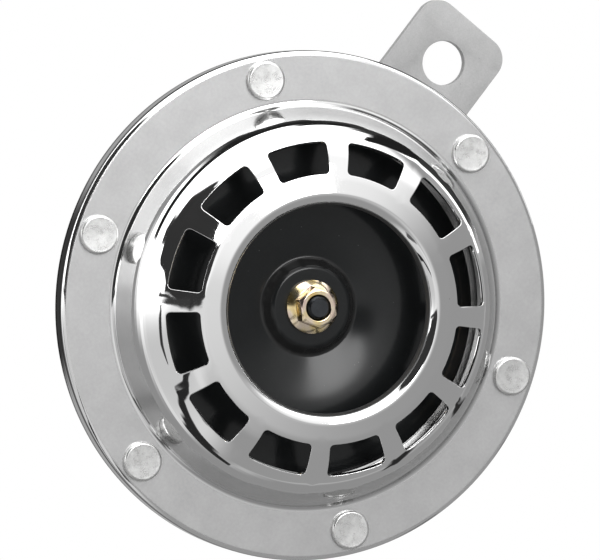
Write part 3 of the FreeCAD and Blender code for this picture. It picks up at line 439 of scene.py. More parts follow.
def turned(name, run, kind, around):
    """Spins a run of (r, z) points round the axis.

    A skin is open and has its metal on the left of the run, a solid starts and ends on the
    axis, and a loop closes on itself.
    """
    spots, faces = [], []
    count = len(run)
    for column in range(around):
        turn = 2 * math.pi * column / around
        for spot in run:
            spots.append((spot.x * math.sin(turn), spot.x * math.cos(turn), spot.y))
    for column in range(around):
        this, after = column * count, (column + 1) % around * count
        for row in range(count if kind == LOOP else count - 1):
            up = (row + 1) % count
            faces.append((this + row, this + up, after + up, after + row))
    return tidy(mesh_of(name, spots, faces), outwards=kind != SKIN)


def box(x, y, low, high):
    """A plain box between pairs of x and y and two heights."""
    spots = [(a, b, c) for c in (low, high) for b in y for a in x]
    faces = [(0, 2, 3, 1), (4, 5, 7, 6), (0, 1, 5, 4), (2, 6, 7, 3), (0, 4, 6, 2), (1, 3, 7, 5)]
    return tidy(mesh_of("box", spots, faces), 30.0)


def joined(name, *meshes):
    """One mesh out of several."""
    shape = bmesh.new()
    for mesh in meshes:
        shape.from_mesh(mesh)
    whole = bpy.data.meshes.new(name)
    shape.to_mesh(whole)
    shape.free()
    return whole


def moved(mesh, spot=(0, 0, 0), angle=0.0):
    """Moves a mesh in the horn's frame after a clockwise turn."""
    mesh.transform(Matrix.Translation(spot) @ Matrix.Rotation(math.radians(-angle), 4, "Z"))
    return mesh


def evaluated(made):
    """The plain mesh that an object's modifiers make."""
    graph = bpy.context.evaluated_depsgraph_get()
    return bpy.data.meshes.new_from_object(made.evaluated_get(graph))


def sheet_metal(made, thickness, bevel):
    """Gives a skin its thickness, inwards, and softens its cut edges. Sizes in millimetres."""
    wall = made.modifiers.new("thickness", "SOLIDIFY")
    wall.thickness, wall.offset = thickness / 1000, -1.0
    edge_softened(made, bevel)


def edge_softened(made, width, angle=50.0, segments=3):
    edge = made.modifiers.new("soft_edges", "BEVEL")
    edge.limit_method, edge.angle_limit = "ANGLE", math.radians(angle)
    edge.width, edge.segments = width / 1000, segments
    edge.use_clamp_overlap = True
    flat = made.modifiers.new("flat_faces", "WEIGHTED_NORMAL")
    flat.keep_sharp, flat.weight = True, 80


def place(name, mesh, body, node, finish):
    """Takes a mesh from the horn's frame to its place and lets it stand for its solid."""
    mesh.transform(TO_FRAME)
    mesh.materials.clear()
    mesh.materials.append(finish)
    mesh.polygons.foreach_set("material_index", [0] * len(mesh.polygons))
    made = link(name, mesh)
    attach(made, body)
    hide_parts(node)
    print(node, len(mesh.polygons), "faces")
    return made


# %% [markdown]
# ## Finishes
# Each finish is made of a few effects that several of them share: cloudy mottling, pinpoint
# pits, fine turning marks and a ring mask that tells the flat flange from the bright dome.
# They are shader groups, built once. All of them read Object coordinates, which are in metres
# in the frame, and turn them into millimetres from the middle of the horn.

# %% Shared effects
def centred(tree):
    """Object coordinates in millimetres from the middle of the flange's face."""
    here = add(tree, "ShaderNodeTexCoord").outputs["Object"]
    middle = tuple(horn_centre)
    shifted = add(tree, "ShaderNodeVectorMath", {0: here, 1: middle}, operation="SUBTRACT")
    scaled = add(tree, "ShaderNodeVectorMath", {0: shifted.outputs[0]}, operation="SCALE")
    scaled.inputs["Scale"].default_value = 1000.0
    return scaled.outputs[0]


def radius_of(tree, spot):
    """How far a point lies from the horn's axis, and how far in front of the flange."""
    parts = add(tree, "ShaderNodeSeparateXYZ", {0: spot}).outputs
    flat = add(tree, "ShaderNodeCombineXYZ", {"X": parts["X"], "Z": parts["Z"]}).outputs[0]
    reach = add(tree, "ShaderNodeVectorMath", {0: flat}, operation="LENGTH").outputs["Value"]
    return reach, math_node(tree, "MULTIPLY", parts["Y"], -1.0)


def inverse(tree, value):
    """One divided by a value, so a size becomes a texture's scale."""
    return math_node(tree, "DIVIDE", 1.0, value)


def mottle_group():
    """Clouds of lighter and darker metal: a factor round 1."""
    tree, given, result = group("mottle", {"Size": 3.0, "Contrast": 0.1}, "Factor")
    scale = inverse(tree, given["Size"])
    inputs = {"Vector": centred(tree), "Scale": scale, "Detail": 5.0, "Roughness": 0.62}
    clouds = add(tree, "ShaderNodeTexNoise", inputs)
    swing = math_node(tree, "SUBTRACT", clouds.outputs["Fac"], 0.5)
    swing = math_node(tree, "MULTIPLY", swing, given["Contrast"])
    factor = math_node(tree, "MULTIPLY_ADD", swing, 4.0, 1.0)
    tree.links.new(factor, result)
    return tree


def pits_group():
    """Scattered pinpoint pits, as a mask. Share is the part of the cells that have one."""
    inputs = {"Spacing": 3.0, "Size": 0.15, "Share": 0.4}
    tree, given, result = group("pits", inputs, "Mask")
    scale = inverse(tree, given["Spacing"])
    cells = add(tree, "ShaderNodeTexVoronoi", {"Vector": centred(tree), "Scale": scale})
    luck = add(tree, "ShaderNodeSeparateColor", {0: cells.outputs["Color"]}).outputs
    far = math_node(tree, "MULTIPLY", cells.outputs["Distance"], given["Spacing"])
    wide = math_node(tree, "MULTIPLY", given["Size"], luck["Green"])
    inside = math_node(tree, "SUBTRACT", 1.0, math_node(tree, "DIVIDE", far, wide), clamp=True)
    inside = math_node(tree, "MULTIPLY", inside, 2.5, clamp=True)
    chosen = math_node(tree, "LESS_THAN", luck["Red"], given["Share"])
    tree.links.new(math_node(tree, "MULTIPLY", inside, chosen), result)
    return tree


def turning_group():
    """Fine marks that run round the axis, as a lathe or a polishing mop leaves them."""
    tree, given, result = group("turning_marks", {"Pitch": 0.2, "Breaks": 0.05}, "Height")
    spot = centred(tree)
    reach, front = radius_of(tree, spot)
    fine = math_node(tree, "DIVIDE", math_node(tree, "ADD", reach, front), given["Pitch"])
    parts = add(tree, "ShaderNodeSeparateXYZ", {0: spot}).outputs
    along_x = math_node(tree, "MULTIPLY", parts["X"], given["Breaks"])
    along_z = math_node(tree, "MULTIPLY", parts["Z"], given["Breaks"])
    stretched = add(tree, "ShaderNodeCombineXYZ", {"X": fine, "Y": along_x, "Z": along_z}).outputs[0]
    lines = add(tree, "ShaderNodeTexNoise", {"Vector": stretched, "Scale": 1.0, "Detail": 2.0})
    tree.links.new(lines.outputs["Fac"], result)
    return tree


def ring_group():
    """A mask that is 1 between two radii, with soft edges."""
    inputs = {"Inner": 45.0, "Outer": 54.0, "Softness": 0.3}
    tree, given, result = group("between_radii", inputs, "Mask")
    reach, _ = radius_of(tree, centred(tree))
    rise = math_node(tree, "SUBTRACT", reach, given["Inner"])
    fall = math_node(tree, "SUBTRACT", given["Outer"], reach)
    nearer = math_node(tree, "MINIMUM", rise, fall)
    mask = math_node(tree, "DIVIDE", nearer, given["Softness"], clamp=True)
    tree.links.new(mask, result)
    return tree


MOTTLE, PITS, TURNING, RING = mottle_group(), pits_group(), turning_group(), ring_group()


def effect(tree, shared, **inputs):
    made = add(tree, "ShaderNodeGroup", node_tree=shared)
    for key, value in inputs.items():
        made.inputs[key].default_value = value
    return made.outputs[0]


def bumped(tree, height, depth):
    """A normal from a height between 0 and 1 and the depth in millimetres that 1 stands for."""
    inputs = {"Height": height, "Distance": depth / 1000, "Strength": 1.0}
    return add(tree, "ShaderNodeBump", inputs).outputs["Normal"]


def scaled_colour(tree, colour, factor):
    """A colour made lighter or darker by a factor."""
    wide = add(tree, "ShaderNodeCombineColor", {0: factor, 1: factor, 2: factor}).outputs[0]
    return blend_colours(tree, 1.0, colour, wide, "MULTIPLY")


# How deep the grain of a metal is, in millimetres.
GRAIN_DEPTH = 0.004
print("effects:", [tree.name for tree in (MOTTLE, PITS, TURNING, RING)])

# %% [markdown]
# ### Bright plating
# The cover is one plated pressing, but it has two finishes. The dome, wall and rim are
# polished and mirror the studio. The flat flange is satin: light and even, with faint clouds
# and a few dark pinpoints. A ring mask blends the two, so the change follows the shape and
# needs no second material. Dark lines are painted into its colour: painted reflections twice
# round the rolled skirt and in the crease at the wall's foot, and painted shade inside the lip.

# %% Painted dark lines on the cover
# Greys painted into the cover: painted reflections on the skirt, painted shade inside the lip and a
# painted reflection in the crease.
REFLECTION_LINE_GREY, LIP_SHADE_GREY, PAINTED_CREASE_GREY = 0.03, 0.04, 0.02
REFLECTION_LINE_COVER = 0.85
PAINTED_CREASE_FAINT = 0.25


def painted_crease_strength(tree):
    """How dark the painted reflection in the crease at the wall's foot is: most between 14 and 42 degrees
    round from the picture's top.
    """
    parts = add(tree, "ShaderNodeSeparateXYZ", {0: centred(tree)}).outputs
    angle = math_node(tree, "ARCTAN2", parts["X"], parts["Z"])
    angle = math_node(tree, "MULTIPLY", angle, 180 / math.pi)
    rise = steps(tree, angle, PHOTO_UP + 2, PHOTO_UP + 14, PAINTED_CREASE_FAINT, 1.0)
    fall = steps(tree, angle, PHOTO_UP + 42, PHOTO_UP + 45, 1.0, PAINTED_CREASE_FAINT)
    return math_node(tree, "MINIMUM", rise, fall)


def with_painted_dark_lines(tree, colour, front, painted_lip_shade):
    """The cover's colour with painted dark lines: painted reflections round the skirt and in the crease,
    and painted shade inside the lip.
    """
    # Two dark lines painted round the rolled skirt: painted reflections of its curved edge.
    from_reflection_line = math_node(tree, "ABSOLUTE", math_node(tree, "ADD", front, 1.15))
    inner_reflection_line = steps(tree, from_reflection_line, 0.3, 0.6, REFLECTION_LINE_COVER, 0.0)
    outer_reflection_line = steps(tree, front, -3.7, -4.0, 0.0, REFLECTION_LINE_COVER)
    lines = math_node(tree, "MAXIMUM", inner_reflection_line, outer_reflection_line)
    colour = blend_colours(tree, lines, colour, grey(REFLECTION_LINE_GREY))
    # Painted shade inside the lip.
    colour = blend_colours(tree, painted_lip_shade, colour, grey(LIP_SHADE_GREY))
    # A dark line painted into the crease at the wall's foot: a painted reflection, strongest on one side
    # and faint elsewhere.
    painted_crease = effect(tree, RING, Inner=43.75, Outer=44.6, Softness=0.3)
    painted_crease = math_node(tree, "MULTIPLY", painted_crease, painted_crease_strength(tree))
    return blend_colours(tree, painted_crease, colour, grey(PAINTED_CREASE_GREY))


# %% Cover finish
MIRROR_ROUGH = 0.035
SATIN_GREY, SATIN_PIT, BRIGHT_GREY, BRIGHT_PIT = 0.47, 0.22, 0.68, 0.2
SATIN_METALLIC = 0.65


def cover_roughness(tree, clouds, flange, painted_lip_shade):
    """Satin on the flange, a mirror on the rest, and duller at the lip's end and foot."""
    rough = steps(tree, clouds, 0.9, 1.1, 0.24, 0.28)
    gloss = steps(tree, flange, 0.0, 1.0, MIRROR_ROUGH, 1.0)
    rough = math_node(tree, "MULTIPLY", rough, gloss)
    rough = math_node(tree, "MAXIMUM", rough, MIRROR_ROUGH)
    lip_end = effect(tree, RING, Inner=20.0, Outer=22.75, Softness=0.1)
    rough = math_node(tree, "MULTIPLY_ADD", lip_end, 0.35, rough)
    return math_node(tree, "MULTIPLY_ADD", painted_lip_shade, 0.3, rough)


def cover_relief(tree, flange, front):
    """Fine grain on the flange and deeper rolling marks round the skirt, as a height."""
    marks = effect(tree, MOTTLE, Size=0.35, Contrast=0.25)
    height = math_node(tree, "MULTIPLY", marks, flange)
    rolled = effect(tree, TURNING, Pitch=1.1, Breaks=0.06)
    rolled = math_node(tree, "MULTIPLY", rolled, steps(tree, front, -0.25, -0.8))
    return math_node(tree, "MULTIPLY_ADD", rolled, 12.0, height)


def cover_finish():
    made, tree, shader = new_finish("cover_chrome", Metallic=1.0)
    flange = effect(tree, RING, Inner=44.9, Outer=55.05, Softness=0.3)
    front = radius_of(tree, centred(tree))[1]
    flange = math_node(tree, "MULTIPLY", flange, steps(tree, front, -0.5, -0.3))
    clouds = effect(tree, MOTTLE, Size=6.0, Contrast=0.06)
    specks = effect(tree, MOTTLE, Size=0.7, Contrast=0.07)
    pits = effect(tree, PITS, Spacing=5.0, Size=0.28, Share=0.35)
    satin = scaled_colour(tree, grey(SATIN_GREY), math_node(tree, "MULTIPLY", clouds, specks))
    satin = blend_colours(tree, pits, satin, grey(SATIN_PIT))
    faint_pits = math_node(tree, "MULTIPLY", pits, 0.6)
    bright = blend_colours(tree, faint_pits, grey(BRIGHT_GREY), grey(BRIGHT_PIT))
    colour = blend_colours(tree, flange, bright, satin)
    # Painted shade: the inside of the lip at its foot is painted dark grey, and is also made less
    # metallic and rougher.
    painted_lip_shade = effect(tree, RING, Inner=20.0, Outer=23.6, Softness=0.1)
    painted_lip_shade = math_node(tree, "MULTIPLY", painted_lip_shade, steps(tree, front, 15.2, 14.9))
    colour = with_painted_dark_lines(tree, colour, front, painted_lip_shade)
    metallic = steps(tree, flange, 0.0, 1.0, 1.0, SATIN_METALLIC)
    metallic = math_node(tree, "SUBTRACT", metallic, painted_lip_shade, clamp=True)
    rough = cover_roughness(tree, clouds, flange, painted_lip_shade)
    relief = cover_relief(tree, flange, front)
    feed(tree, shader, Base_Color=colour, Metallic=metallic)
    feed(tree, shader, Roughness=rough, Normal=bumped(tree, relief, GRAIN_DEPTH))
    return made


cover_chrome = cover_finish()
print("finish:", cover_chrome.name)

# %% [markdown]
# ### Other metals
# Rivets, washers and the bracket are plated too, but left as they come from the bath, so
# they are satin. The bracket's zinc has gone dull and reflects more like a grey paint. One
# recipe serves them all, each with its own colour, roughness, clouds and grain.

# %% Plain metals
def metal(name, colour, rough, cloud, contrast, grain, turning=False, pitted=0.3, metallic=1.0):
    made, tree, shader = new_finish(name, Metallic=metallic)
    clouds = effect(tree, MOTTLE, Size=cloud, Contrast=contrast)
    specks = effect(tree, MOTTLE, Size=0.3, Contrast=contrast)
    pits = effect(tree, PITS, Spacing=2.5, Size=0.2, Share=pitted)
    tone = scaled_colour(tree, (*colour, 1.0), math_node(tree, "MULTIPLY", clouds, specks))
    tone = blend_colours(tree, math_node(tree, "MULTIPLY", pits, 0.7), tone, grey(0.1))
    dull = steps(tree, clouds, 0.85, 1.15, rough * 0.85, rough * 1.2)
    if turning:
        height = effect(tree, TURNING, Pitch=grain, Breaks=0.05)
    else:
        height = effect(tree, MOTTLE, Size=grain, Contrast=0.25)
    feed(tree, shader, Base_Color=tone, Roughness=dull, Normal=bumped(tree, height, GRAIN_DEPTH))
    return made


rivet_steel = metal("rivet_steel", (0.60, 0.60, 0.595), 0.28, 1.6, 0.14, 0.6, pitted=0.1)
plated_steel = metal("plated_steel", (0.70, 0.70, 0.69), 0.30, 3.0, 0.05, 0.2, turning=True)
bracket_zinc = metal(
    "bracket_zinc", (0.44, 0.44, 0.44), 0.6, 4.0, 0.10, 0.5, pitted=0.5, metallic=0.15
)
soft_iron = metal("soft_iron", (0.42, 0.41, 0.40), 0.45, 4.0, 0.08, 0.2, turning=True)
diaphragm_steel = metal("diaphragm_steel", (0.30, 0.30, 0.30), 0.22, 5.0, 0.08, 0.3)
spring_bronze = metal("spring_bronze", (0.62, 0.42, 0.20), 0.30, 3.0, 0.05, 0.2)
contact_metal = metal("contact_metal", (0.45, 0.45, 0.46), 0.40, 1.0, 0.05, 0.2)
terminal_brass = metal("terminal_brass", (0.78, 0.77, 0.72), 0.28, 2.0, 0.05, 0.25)
stud_black = metal("stud_black", (0.035, 0.037, 0.04), 0.34, 1.0, 0.12, 0.2)
copper_wire = metal("copper_wire", (0.62, 0.27, 0.12), 0.3, 4.0, 0.05, 0.35, turning=True)

# %% [markdown]
# ### Yellow zinc on the nut
# The passivation on a zinc nut runs from pale yellow through gold to a pinkish violet, in
# clouds a few millimetres wide. A colour ramp over noise gives that drift.

# %% Nut finish
def nut_finish():
    made, tree, shader = new_finish("nut_zinc", Metallic=1.0)
    inputs = {"Vector": centred(tree), "Scale": 0.3, "Detail": 1.0}
    drift = add(tree, "ShaderNodeTexNoise", inputs)
    ramp = add(tree, "ShaderNodeValToRGB", {0: drift.outputs["Fac"]})
    colours = ramp.color_ramp.elements
    colours[0].position, colours[0].color = 0.30, (0.74, 0.54, 0.22, 1)
    colours[1].position, colours[1].color = 0.72, (0.72, 0.54, 0.48, 1)
    for position, colour in ((0.45, (0.80, 0.66, 0.38, 1)), (0.58, (0.80, 0.68, 0.54, 1))):
        colours.new(position).color = colour
    specks = effect(tree, MOTTLE, Size=0.5, Contrast=0.03)
    tone = scaled_colour(tree, ramp.outputs[0], specks)
    rough = steps(tree, specks, 0.9, 1.1, 0.12, 0.18)
    feed(tree, shader, Base_Color=tone, Roughness=rough)
    return made


nut_zinc = nut_finish()


# %% [markdown]
# ### Paint, fibre and plastic
# The tone disc is glossy black with a little orange peel and some dust, and a grey a little
# lighter than its paint is painted into the groove round its boss: painted light that softens
# the groove's dark reflection. The housing is black too, but duller. The rest is moulded or
# pressed: gaskets, insulators, bobbin and block.

# %% Coated and moulded finishes
def coating(name, colour, rough, peel, depth, dust=0.0, contrast=0.1, shine=0.5, painted_groove_light=0.0):
    """Paint or plastic. peel is how wide its waves are, and painted_groove_light how grey the painted
    light in the groove round a boss is.
    """
    made, tree, shader = new_finish(name, Metallic=0.0, Specular_IOR_Level=shine)
    clouds = effect(tree, MOTTLE, Size=7.0, Contrast=contrast)
    specks = effect(tree, MOTTLE, Size=0.5, Contrast=contrast)
    tone = scaled_colour(tree, (*colour, 1.0), math_node(tree, "MULTIPLY", clouds, specks))
    grains = effect(tree, PITS, Spacing=1.6, Size=0.16, Share=0.5)
    veil = math_node(tree, "MULTIPLY", grains, dust)
    tone = blend_colours(tree, veil, tone, grey(0.25))
    # Painted light: the groove round the boss is mixed to a lighter grey, softening its dark reflection.
    if painted_groove_light:
        groove = effect(tree, RING, Inner=8.7, Outer=11.4, Softness=0.6)
        tone = blend_colours(tree, groove, tone, grey(painted_groove_light))
    dull = steps(tree, clouds, 0.8, 1.2, rough * 0.9, rough * 1.15)
    waves = effect(tree, MOTTLE, Size=peel, Contrast=0.25)
    feed(tree, shader, Base_Color=tone, Roughness=dull, Normal=bumped(tree, waves, depth))
    return made


tone_disc_paint = coating(
    "tone_disc_paint", (0.0105, 0.0115, 0.012), 0.15, 1.4, 0.001, dust=0.2, shine=0.27, painted_groove_light=0.02
)
housing_paint = coating("housing_paint", (0.016, 0.016, 0.017), 0.42, 1.0, 0.008, dust=0.2)
gasket_fibre = coating("gasket_fibre", (0.035, 0.032, 0.03), 0.85, 0.5, 0.03, contrast=0.2)
bobbin_plastic = coating("bobbin_plastic", (0.04, 0.04, 0.04), 0.5, 0.8, 0.004)
insulator_fibre = coating("insulator_fibre", (0.22, 0.10, 0.045), 0.6, 0.5, 0.01, contrast=0.2)
block_plastic = coating("block_plastic", (0.018, 0.018, 0.018), 0.48, 0.5, 0.006, dust=0.1)
print("finishes:", len(bpy.data.materials))

# %% [markdown]
# ## Copies on places
# Slots, rivets and their like are one form, repeated. This tree reads a mesh of bare points,
# each with a clock angle as an attribute, and puts a copy of the form on each. Rivets are set
# by hand, so each copy may also turn and tilt a little, by a fixed seed.

# %% The tree
def copies_tree():
    tree = bpy.data.node_groups.new("copies_on_places", "GeometryNodeTree")
    inputs = {
        "Places": "Geometry", "Form": "Object", "Spin": "Float", "Tilt": "Float",
        "Seed": "Int", "Weld": "Float", "Finish": "Material",
    }
    for key, kind in inputs.items():
        tree.interface.new_socket(key, in_out="INPUT", socket_type=f"NodeSocket{kind}")
    tree.interface.new_socket("Copies", in_out="OUTPUT", socket_type="NodeSocketGeometry")
    given = tree.nodes.new("NodeGroupInput").outputs
    result = tree.nodes.new("NodeGroupOutput").inputs
    chance = []
    for order, most in enumerate((given["Tilt"], given["Tilt"], given["Spin"])):
        least = math_node(tree, "MULTIPLY", most, -1.0)
        seed = math_node(tree, "ADD", given["Seed"], float(order))
        dice = add(tree, "FunctionNodeRandomValue", {"Seed": seed}, data_type="FLOAT")
        tree.links.new(least, dice.inputs[2])
        tree.links.new(most, dice.inputs[3])
        chance.append(dice.outputs[1])
    angle = add(tree, "GeometryNodeInputNamedAttribute", {"Name": "clock_angle"}, data_type="FLOAT")
    heading = math_node(tree, "SUBTRACT", chance[2], angle.outputs["Attribute"])
    turns = add(tree, "ShaderNodeCombineXYZ", {"X": chance[0], "Y": chance[1], "Z": heading})
    form = add(tree, "GeometryNodeObjectInfo", {"Object": given["Form"]}).outputs["Geometry"]
    inputs = {"Points": given["Places"], "Instance": form, "Rotation": turns.outputs[0]}
    copies = add(tree, "GeometryNodeInstanceOnPoints", inputs)
    real = add(tree, "GeometryNodeRealizeInstances", {"Geometry": copies.outputs[0]})
    inputs = {"Geometry": real.outputs[0], "Distance": given["Weld"]}
    weld = add(tree, "GeometryNodeMergeByDistance", inputs)
    inputs = {"Geometry": weld.outputs[0], "Material": given["Finish"]}
    dressed = add(tree, "GeometryNodeSetMaterial", inputs)
    tree.links.new(dressed.outputs[0], result["Copies"])
    return tree


COPIES = copies_tree()


def grown(made, tree, **values):
    """Runs a tree on an object with its inputs set, and returns the plain mesh."""
    modifier = made.modifiers.new(tree.name, "NODES")
    modifier.node_group = tree
    for item in tree.interface.items_tree:
        if item.in_out == "INPUT" and item.name in values:
            modifier[item.identifier] = values[item.name]
    mesh = evaluated(made)
    made.modifiers.clear()
    bpy.data.objects.remove(made)
    return mesh


def copies(name, form, places, finish, spin=0.0, tilt=0.0, seed=4, weld=0.0005):
    """A mesh with a copy of a form at each (spot, clock angle in degrees)."""
    points = mesh_of(f"{name}_places", [spot for spot, _ in places], [])
    angles = points.attributes.new("clock_angle", "FLOAT", "POINT")
    angles.data.foreach_set("value", [math.radians(angle) for _, angle in places])
    model = link(f"{name}_form", form)
    values = {"Form": model, "Spin": spin, "Tilt": tilt, "Seed": seed, "Weld": weld, "Finish": finish}
    mesh = grown(link(name, points), COPIES, **values)
    bpy.data.objects.remove(model)
    return mesh


print("tree:", COPIES.name, len(COPIES.nodes), "nodes")

# %% [markdown]
# ## The pressed cover
# The cover is one steel sheet, drawn in a press: a skirt, a flat flange, a steep wall, a dome
# with twelve slots and a lip rolled into the mouth. It could be turned whole and the slots
# cut by a boolean, but a mirror finish shows every uneven face that a boolean leaves. So one
# twelfth is made of clean loops round one slot, and the tree repeats it.

# %% Cover section
SLOTS = 12
SLOT_INNER, SLOT_OUTER = 29.3, 36.3
SLOT_HALF, SLOT_CORNER = 11.0, 1.0
BAND_INNER, BAND_OUTER = 27.4, 38.4
COVER_RUN = [
    (55.8, -5.0),
    (55.8, 0.0, 1.2),
    (44.05, 0.0, 1.2),
    (41.0, 7.4, 22.0),
    (35.9, 14.0, 12.0),
    (28.4, 15.55, 10.0),
    (22.6, 16.2, 2.4),
    (22.6, 13.4),
]
BAND_MARGIN = 0.2
fine_run = rounded(COVER_RUN, math.radians(0.25))
dome_spots = sorted((spot.x, spot.y) for spot in fine_run if 24.0 < spot.x < 44.0 and spot.y > 1)
dome_radii, dome_heights = zip(*dome_spots)


def dome_height(radius):
    """The dome's height at a radius, read between the close points of its section."""
    return float(np.interp(radius, dome_radii, dome_heights))


cover_rows = spaced(rounded(COVER_RUN, math.radians(2.5)), 1.2)
outer_rows = [spot for spot in cover_rows if spot.x > BAND_OUTER + BAND_MARGIN]
inner_rows = [spot for spot in cover_rows if spot.x < BAND_INNER - BAND_MARGIN]
print("cover rows outside the slots:", len(outer_rows), len(inner_rows))

# %% One slot's edge
ACROSS, DOWN, LOOPS = 20, 10, 6
LOOP_GROWTH = 1.3
CORNER_STEPS = 3
FLANK = 90 + SLOT_HALF


def along(first, last, count):
    return [first + (last - first) * k / count for k in range(count + 1)]


def mirrored(spots):
    return [Vector((-spot.x, spot.y, 0)) for spot in spots]


def slot_corner(outer):
    """The right corner's middle, its clock angle, and the angle where it meets the rim."""
    radius = SLOT_OUTER - SLOT_CORNER if outer else SLOT_INNER + SLOT_CORNER
    lean = SLOT_HALF - math.degrees(math.asin(SLOT_CORNER / radius))
    return clock(radius, lean), lean, lean if outer else lean + 180


def corner_arc(outer, first, last):
    middle = slot_corner(outer)[0]
    return [middle + clock(SLOT_CORNER, angle) for angle in along(first, last, CORNER_STEPS)]


def slot_rim(outer):
    """A slot's outer or inner side, from left to right, with half of each corner."""
    _, lean, touch = slot_corner(outer)
    right = corner_arc(outer, touch, (touch + FLANK) / 2)
    reach = SLOT_OUTER if outer else SLOT_INNER
    middle = [clock(reach, angle) for angle in along(-lean, lean, ACROSS - 2 * CORNER_STEPS)]
    return mirrored(reversed(right)) + middle[1:-1] + right


def slot_flank():
    """A slot's right side, from its outer to its inner end, with half of each corner."""
    far, near = slot_corner(True)[2], slot_corner(False)[2]
    upper = corner_arc(True, (far + FLANK) / 2, FLANK)
    lower = corner_arc(False, FLANK, (near + FLANK) / 2)
    straight = along(upper[-1], lower[0], DOWN - 2 * CORNER_STEPS)
    return upper + straight[1:-1] + lower


# %% One twelfth of the cover
def twelfth():
    """The skin of one slot's sector, open at both sides."""
    half = 180.0 / SLOTS
    right = slot_flank()
    left = mirrored(reversed(right))
    hole = slot_rim(True) + right[1:-1] + slot_rim(False)[::-1] + left[1:-1]
    angles = along(-half, half, ACROSS)
    reaches = along(BAND_OUTER, BAND_INNER, DOWN)[1:-1]
    fence = [clock(BAND_OUTER, angle) for angle in angles]
    fence += [clock(radius, half) for radius in reaches]
    fence += [clock(BAND_INNER, angle) for angle in reversed(angles)]
    fence += [clock(radius, -half) for radius in reversed(reaches)]
    spots, faces = [], []
    count = len(hole)
    for loop in range(LOOPS + 1):
        share = (loop / LOOPS) ** LOOP_GROWTH
        for inside, outside in zip(hole, fence):
            spot = inside.lerp(outside, share)
            spots.append((spot.x, spot.y, dome_height(spot.length)))
    for loop in range(LOOPS):
        for at in range(count):
            a, b = loop * count + at, loop * count + (at + 1) % count
            faces.append((a, b, b + count, a + count))
    for rows, start in ((outer_rows[::-1], BAND_OUTER), (inner_rows, BAND_INNER)):
        ring = [Vector((start, dome_height(start)))] + rows
        first = len(spots)
        for row in ring:
            spots += [tuple(clock(row.x, angle, row.y)) for angle in angles]
        for row in range(len(ring) - 1):
            for column in range(ACROSS):
                a = first + row * (ACROSS + 1) + column
                quad = (a, a + 1, a + ACROSS + 2, a + ACROSS + 1)
                faces.append(quad if start == BAND_OUTER else quad[::-1])
    return tidy(mesh_of("cover_twelfth", spots, faces), outwards=False)


slot_places = [(Vector((0, 0, 0)), COVER_ANGLE + 360 / SLOTS * k) for k in range(SLOTS)]
skin = copies("cover_skin", twelfth(), slot_places, cover_chrome, weld=0.002)
grille_cover = place("grille_cover_pressing", skin, "horn", "grille_cover", cover_chrome)
sheet_metal(grille_cover, SHEET, 0.12)

# %% [markdown]
# ## Rivets at the rim
# Six rivets close the rim. Each was set by a punch, which leaves a flat head with a soft edge
# and a shallow round dimple, and a smaller clench on the back.

# %% Flange rivets
RIVETS = 6
RIVET_CIRCLE = 50.2
rivet_run = [
    (0.0, -4.6),
    (3.2, -4.6, 0.5),
    (3.2, -3.2),
    (2.25, -3.2),
    (2.25, 0.0),
    (4.25, 0.0, 0.1),
    (4.25, 1.3, 0.5),
    (3.3, 1.27, 1.0),
    (0.0, 1.22),
]
rivet = turned("rivet", spaced(rounded(rivet_run, math.radians(15)), 0.6, 0.06), SOLID, 56)
rivet_angles = [COVER_ANGLE + 360 / RIVETS * k for k in range(RIVETS)]
rivet_places = [(clock(RIVET_CIRCLE, angle), angle) for angle in rivet_angles]
rivets = copies("rivets", rivet, rivet_places, rivet_steel, spin=3.0, tilt=0.01)
place("rim_rivets", rivets, "horn", "flange_rivets", rivet_steel)

# %% [markdown]
# ## Tone disc, nut and screw tip
# The black disc is dished: a boss in the middle, a groove round it, then a long shallow curve
# out to a flat rim. It is a skin with thickness, like the cover. The flange nut could be cut
# from a bar by booleans, but its small faces mirror too much to be uneven. So its outline is
# worked out column by column round the axis: the cone, the flat where it is nearest, and the
# chamfer that falls away towards each corner.

# %% Tone disc
tone_run = [(37.2, 2.6), (19.5, 2.6, 61.0), (10.6, 0.4, 1.0), (8.9, 2.8, 1.5), (2.55, 2.8)]
tone_skin = turned("tone_disc", rounded(tone_run, math.radians(1.0)), SKIN, 160)
tone_disc = place(
    "tone_disc_pressing", tone_skin, "vibrating_unit", "tone_disc", tone_disc_paint
)
sheet_metal(tone_disc, 1.0, 0.2)

# %% Flange nut
NUT_LOW, NUT_HIGH, NUT_ANGLE = 2.8, 7.8, 13.4
NUT_BORE, NUT_MOUTH, NUT_SINK = 2.56, 2.9, 0.35
NUT_HALF, NUT_FACE, NUT_CHAMFER = 4.0, 3.72, math.radians(30)
CONE_REACH, CONE_EDGE, CONE_SLOPE, CONE_TOP = 5.9, 3.6, 0.643, 4.5
CONE_SUPPORT = 4.9
NUT_COLUMNS = 96


def hexagon_reach(angle, half):
    """How far a hexagon's side is from the middle at an angle, for half its width across."""
    return half / math.cos(math.radians((angle % 60) - 30))


def cone_height(reach):
    return CONE_EDGE + (CONE_REACH - reach) * CONE_SLOPE


def nut_column(angle):
    """The flange nut's outline at one angle, from the bore's foot round to its top."""
    reach = hexagon_reach(angle, NUT_HALF)
    seat = min(CONE_TOP, cone_height(reach))
    crown = NUT_HIGH - (reach - NUT_FACE) * math.tan(NUT_CHAMFER)
    flange = [(CONE_REACH, NUT_LOW), (CONE_REACH, CONE_EDGE), (CONE_SUPPORT, cone_height(CONE_SUPPORT))]
    hexagon = [(reach, seat), (reach, crown), (NUT_FACE, NUT_HIGH)]
    bore = [(NUT_MOUTH, NUT_HIGH), (NUT_BORE, NUT_HIGH - NUT_SINK)]
    return [(NUT_BORE, NUT_LOW), *flange, *hexagon, *bore]


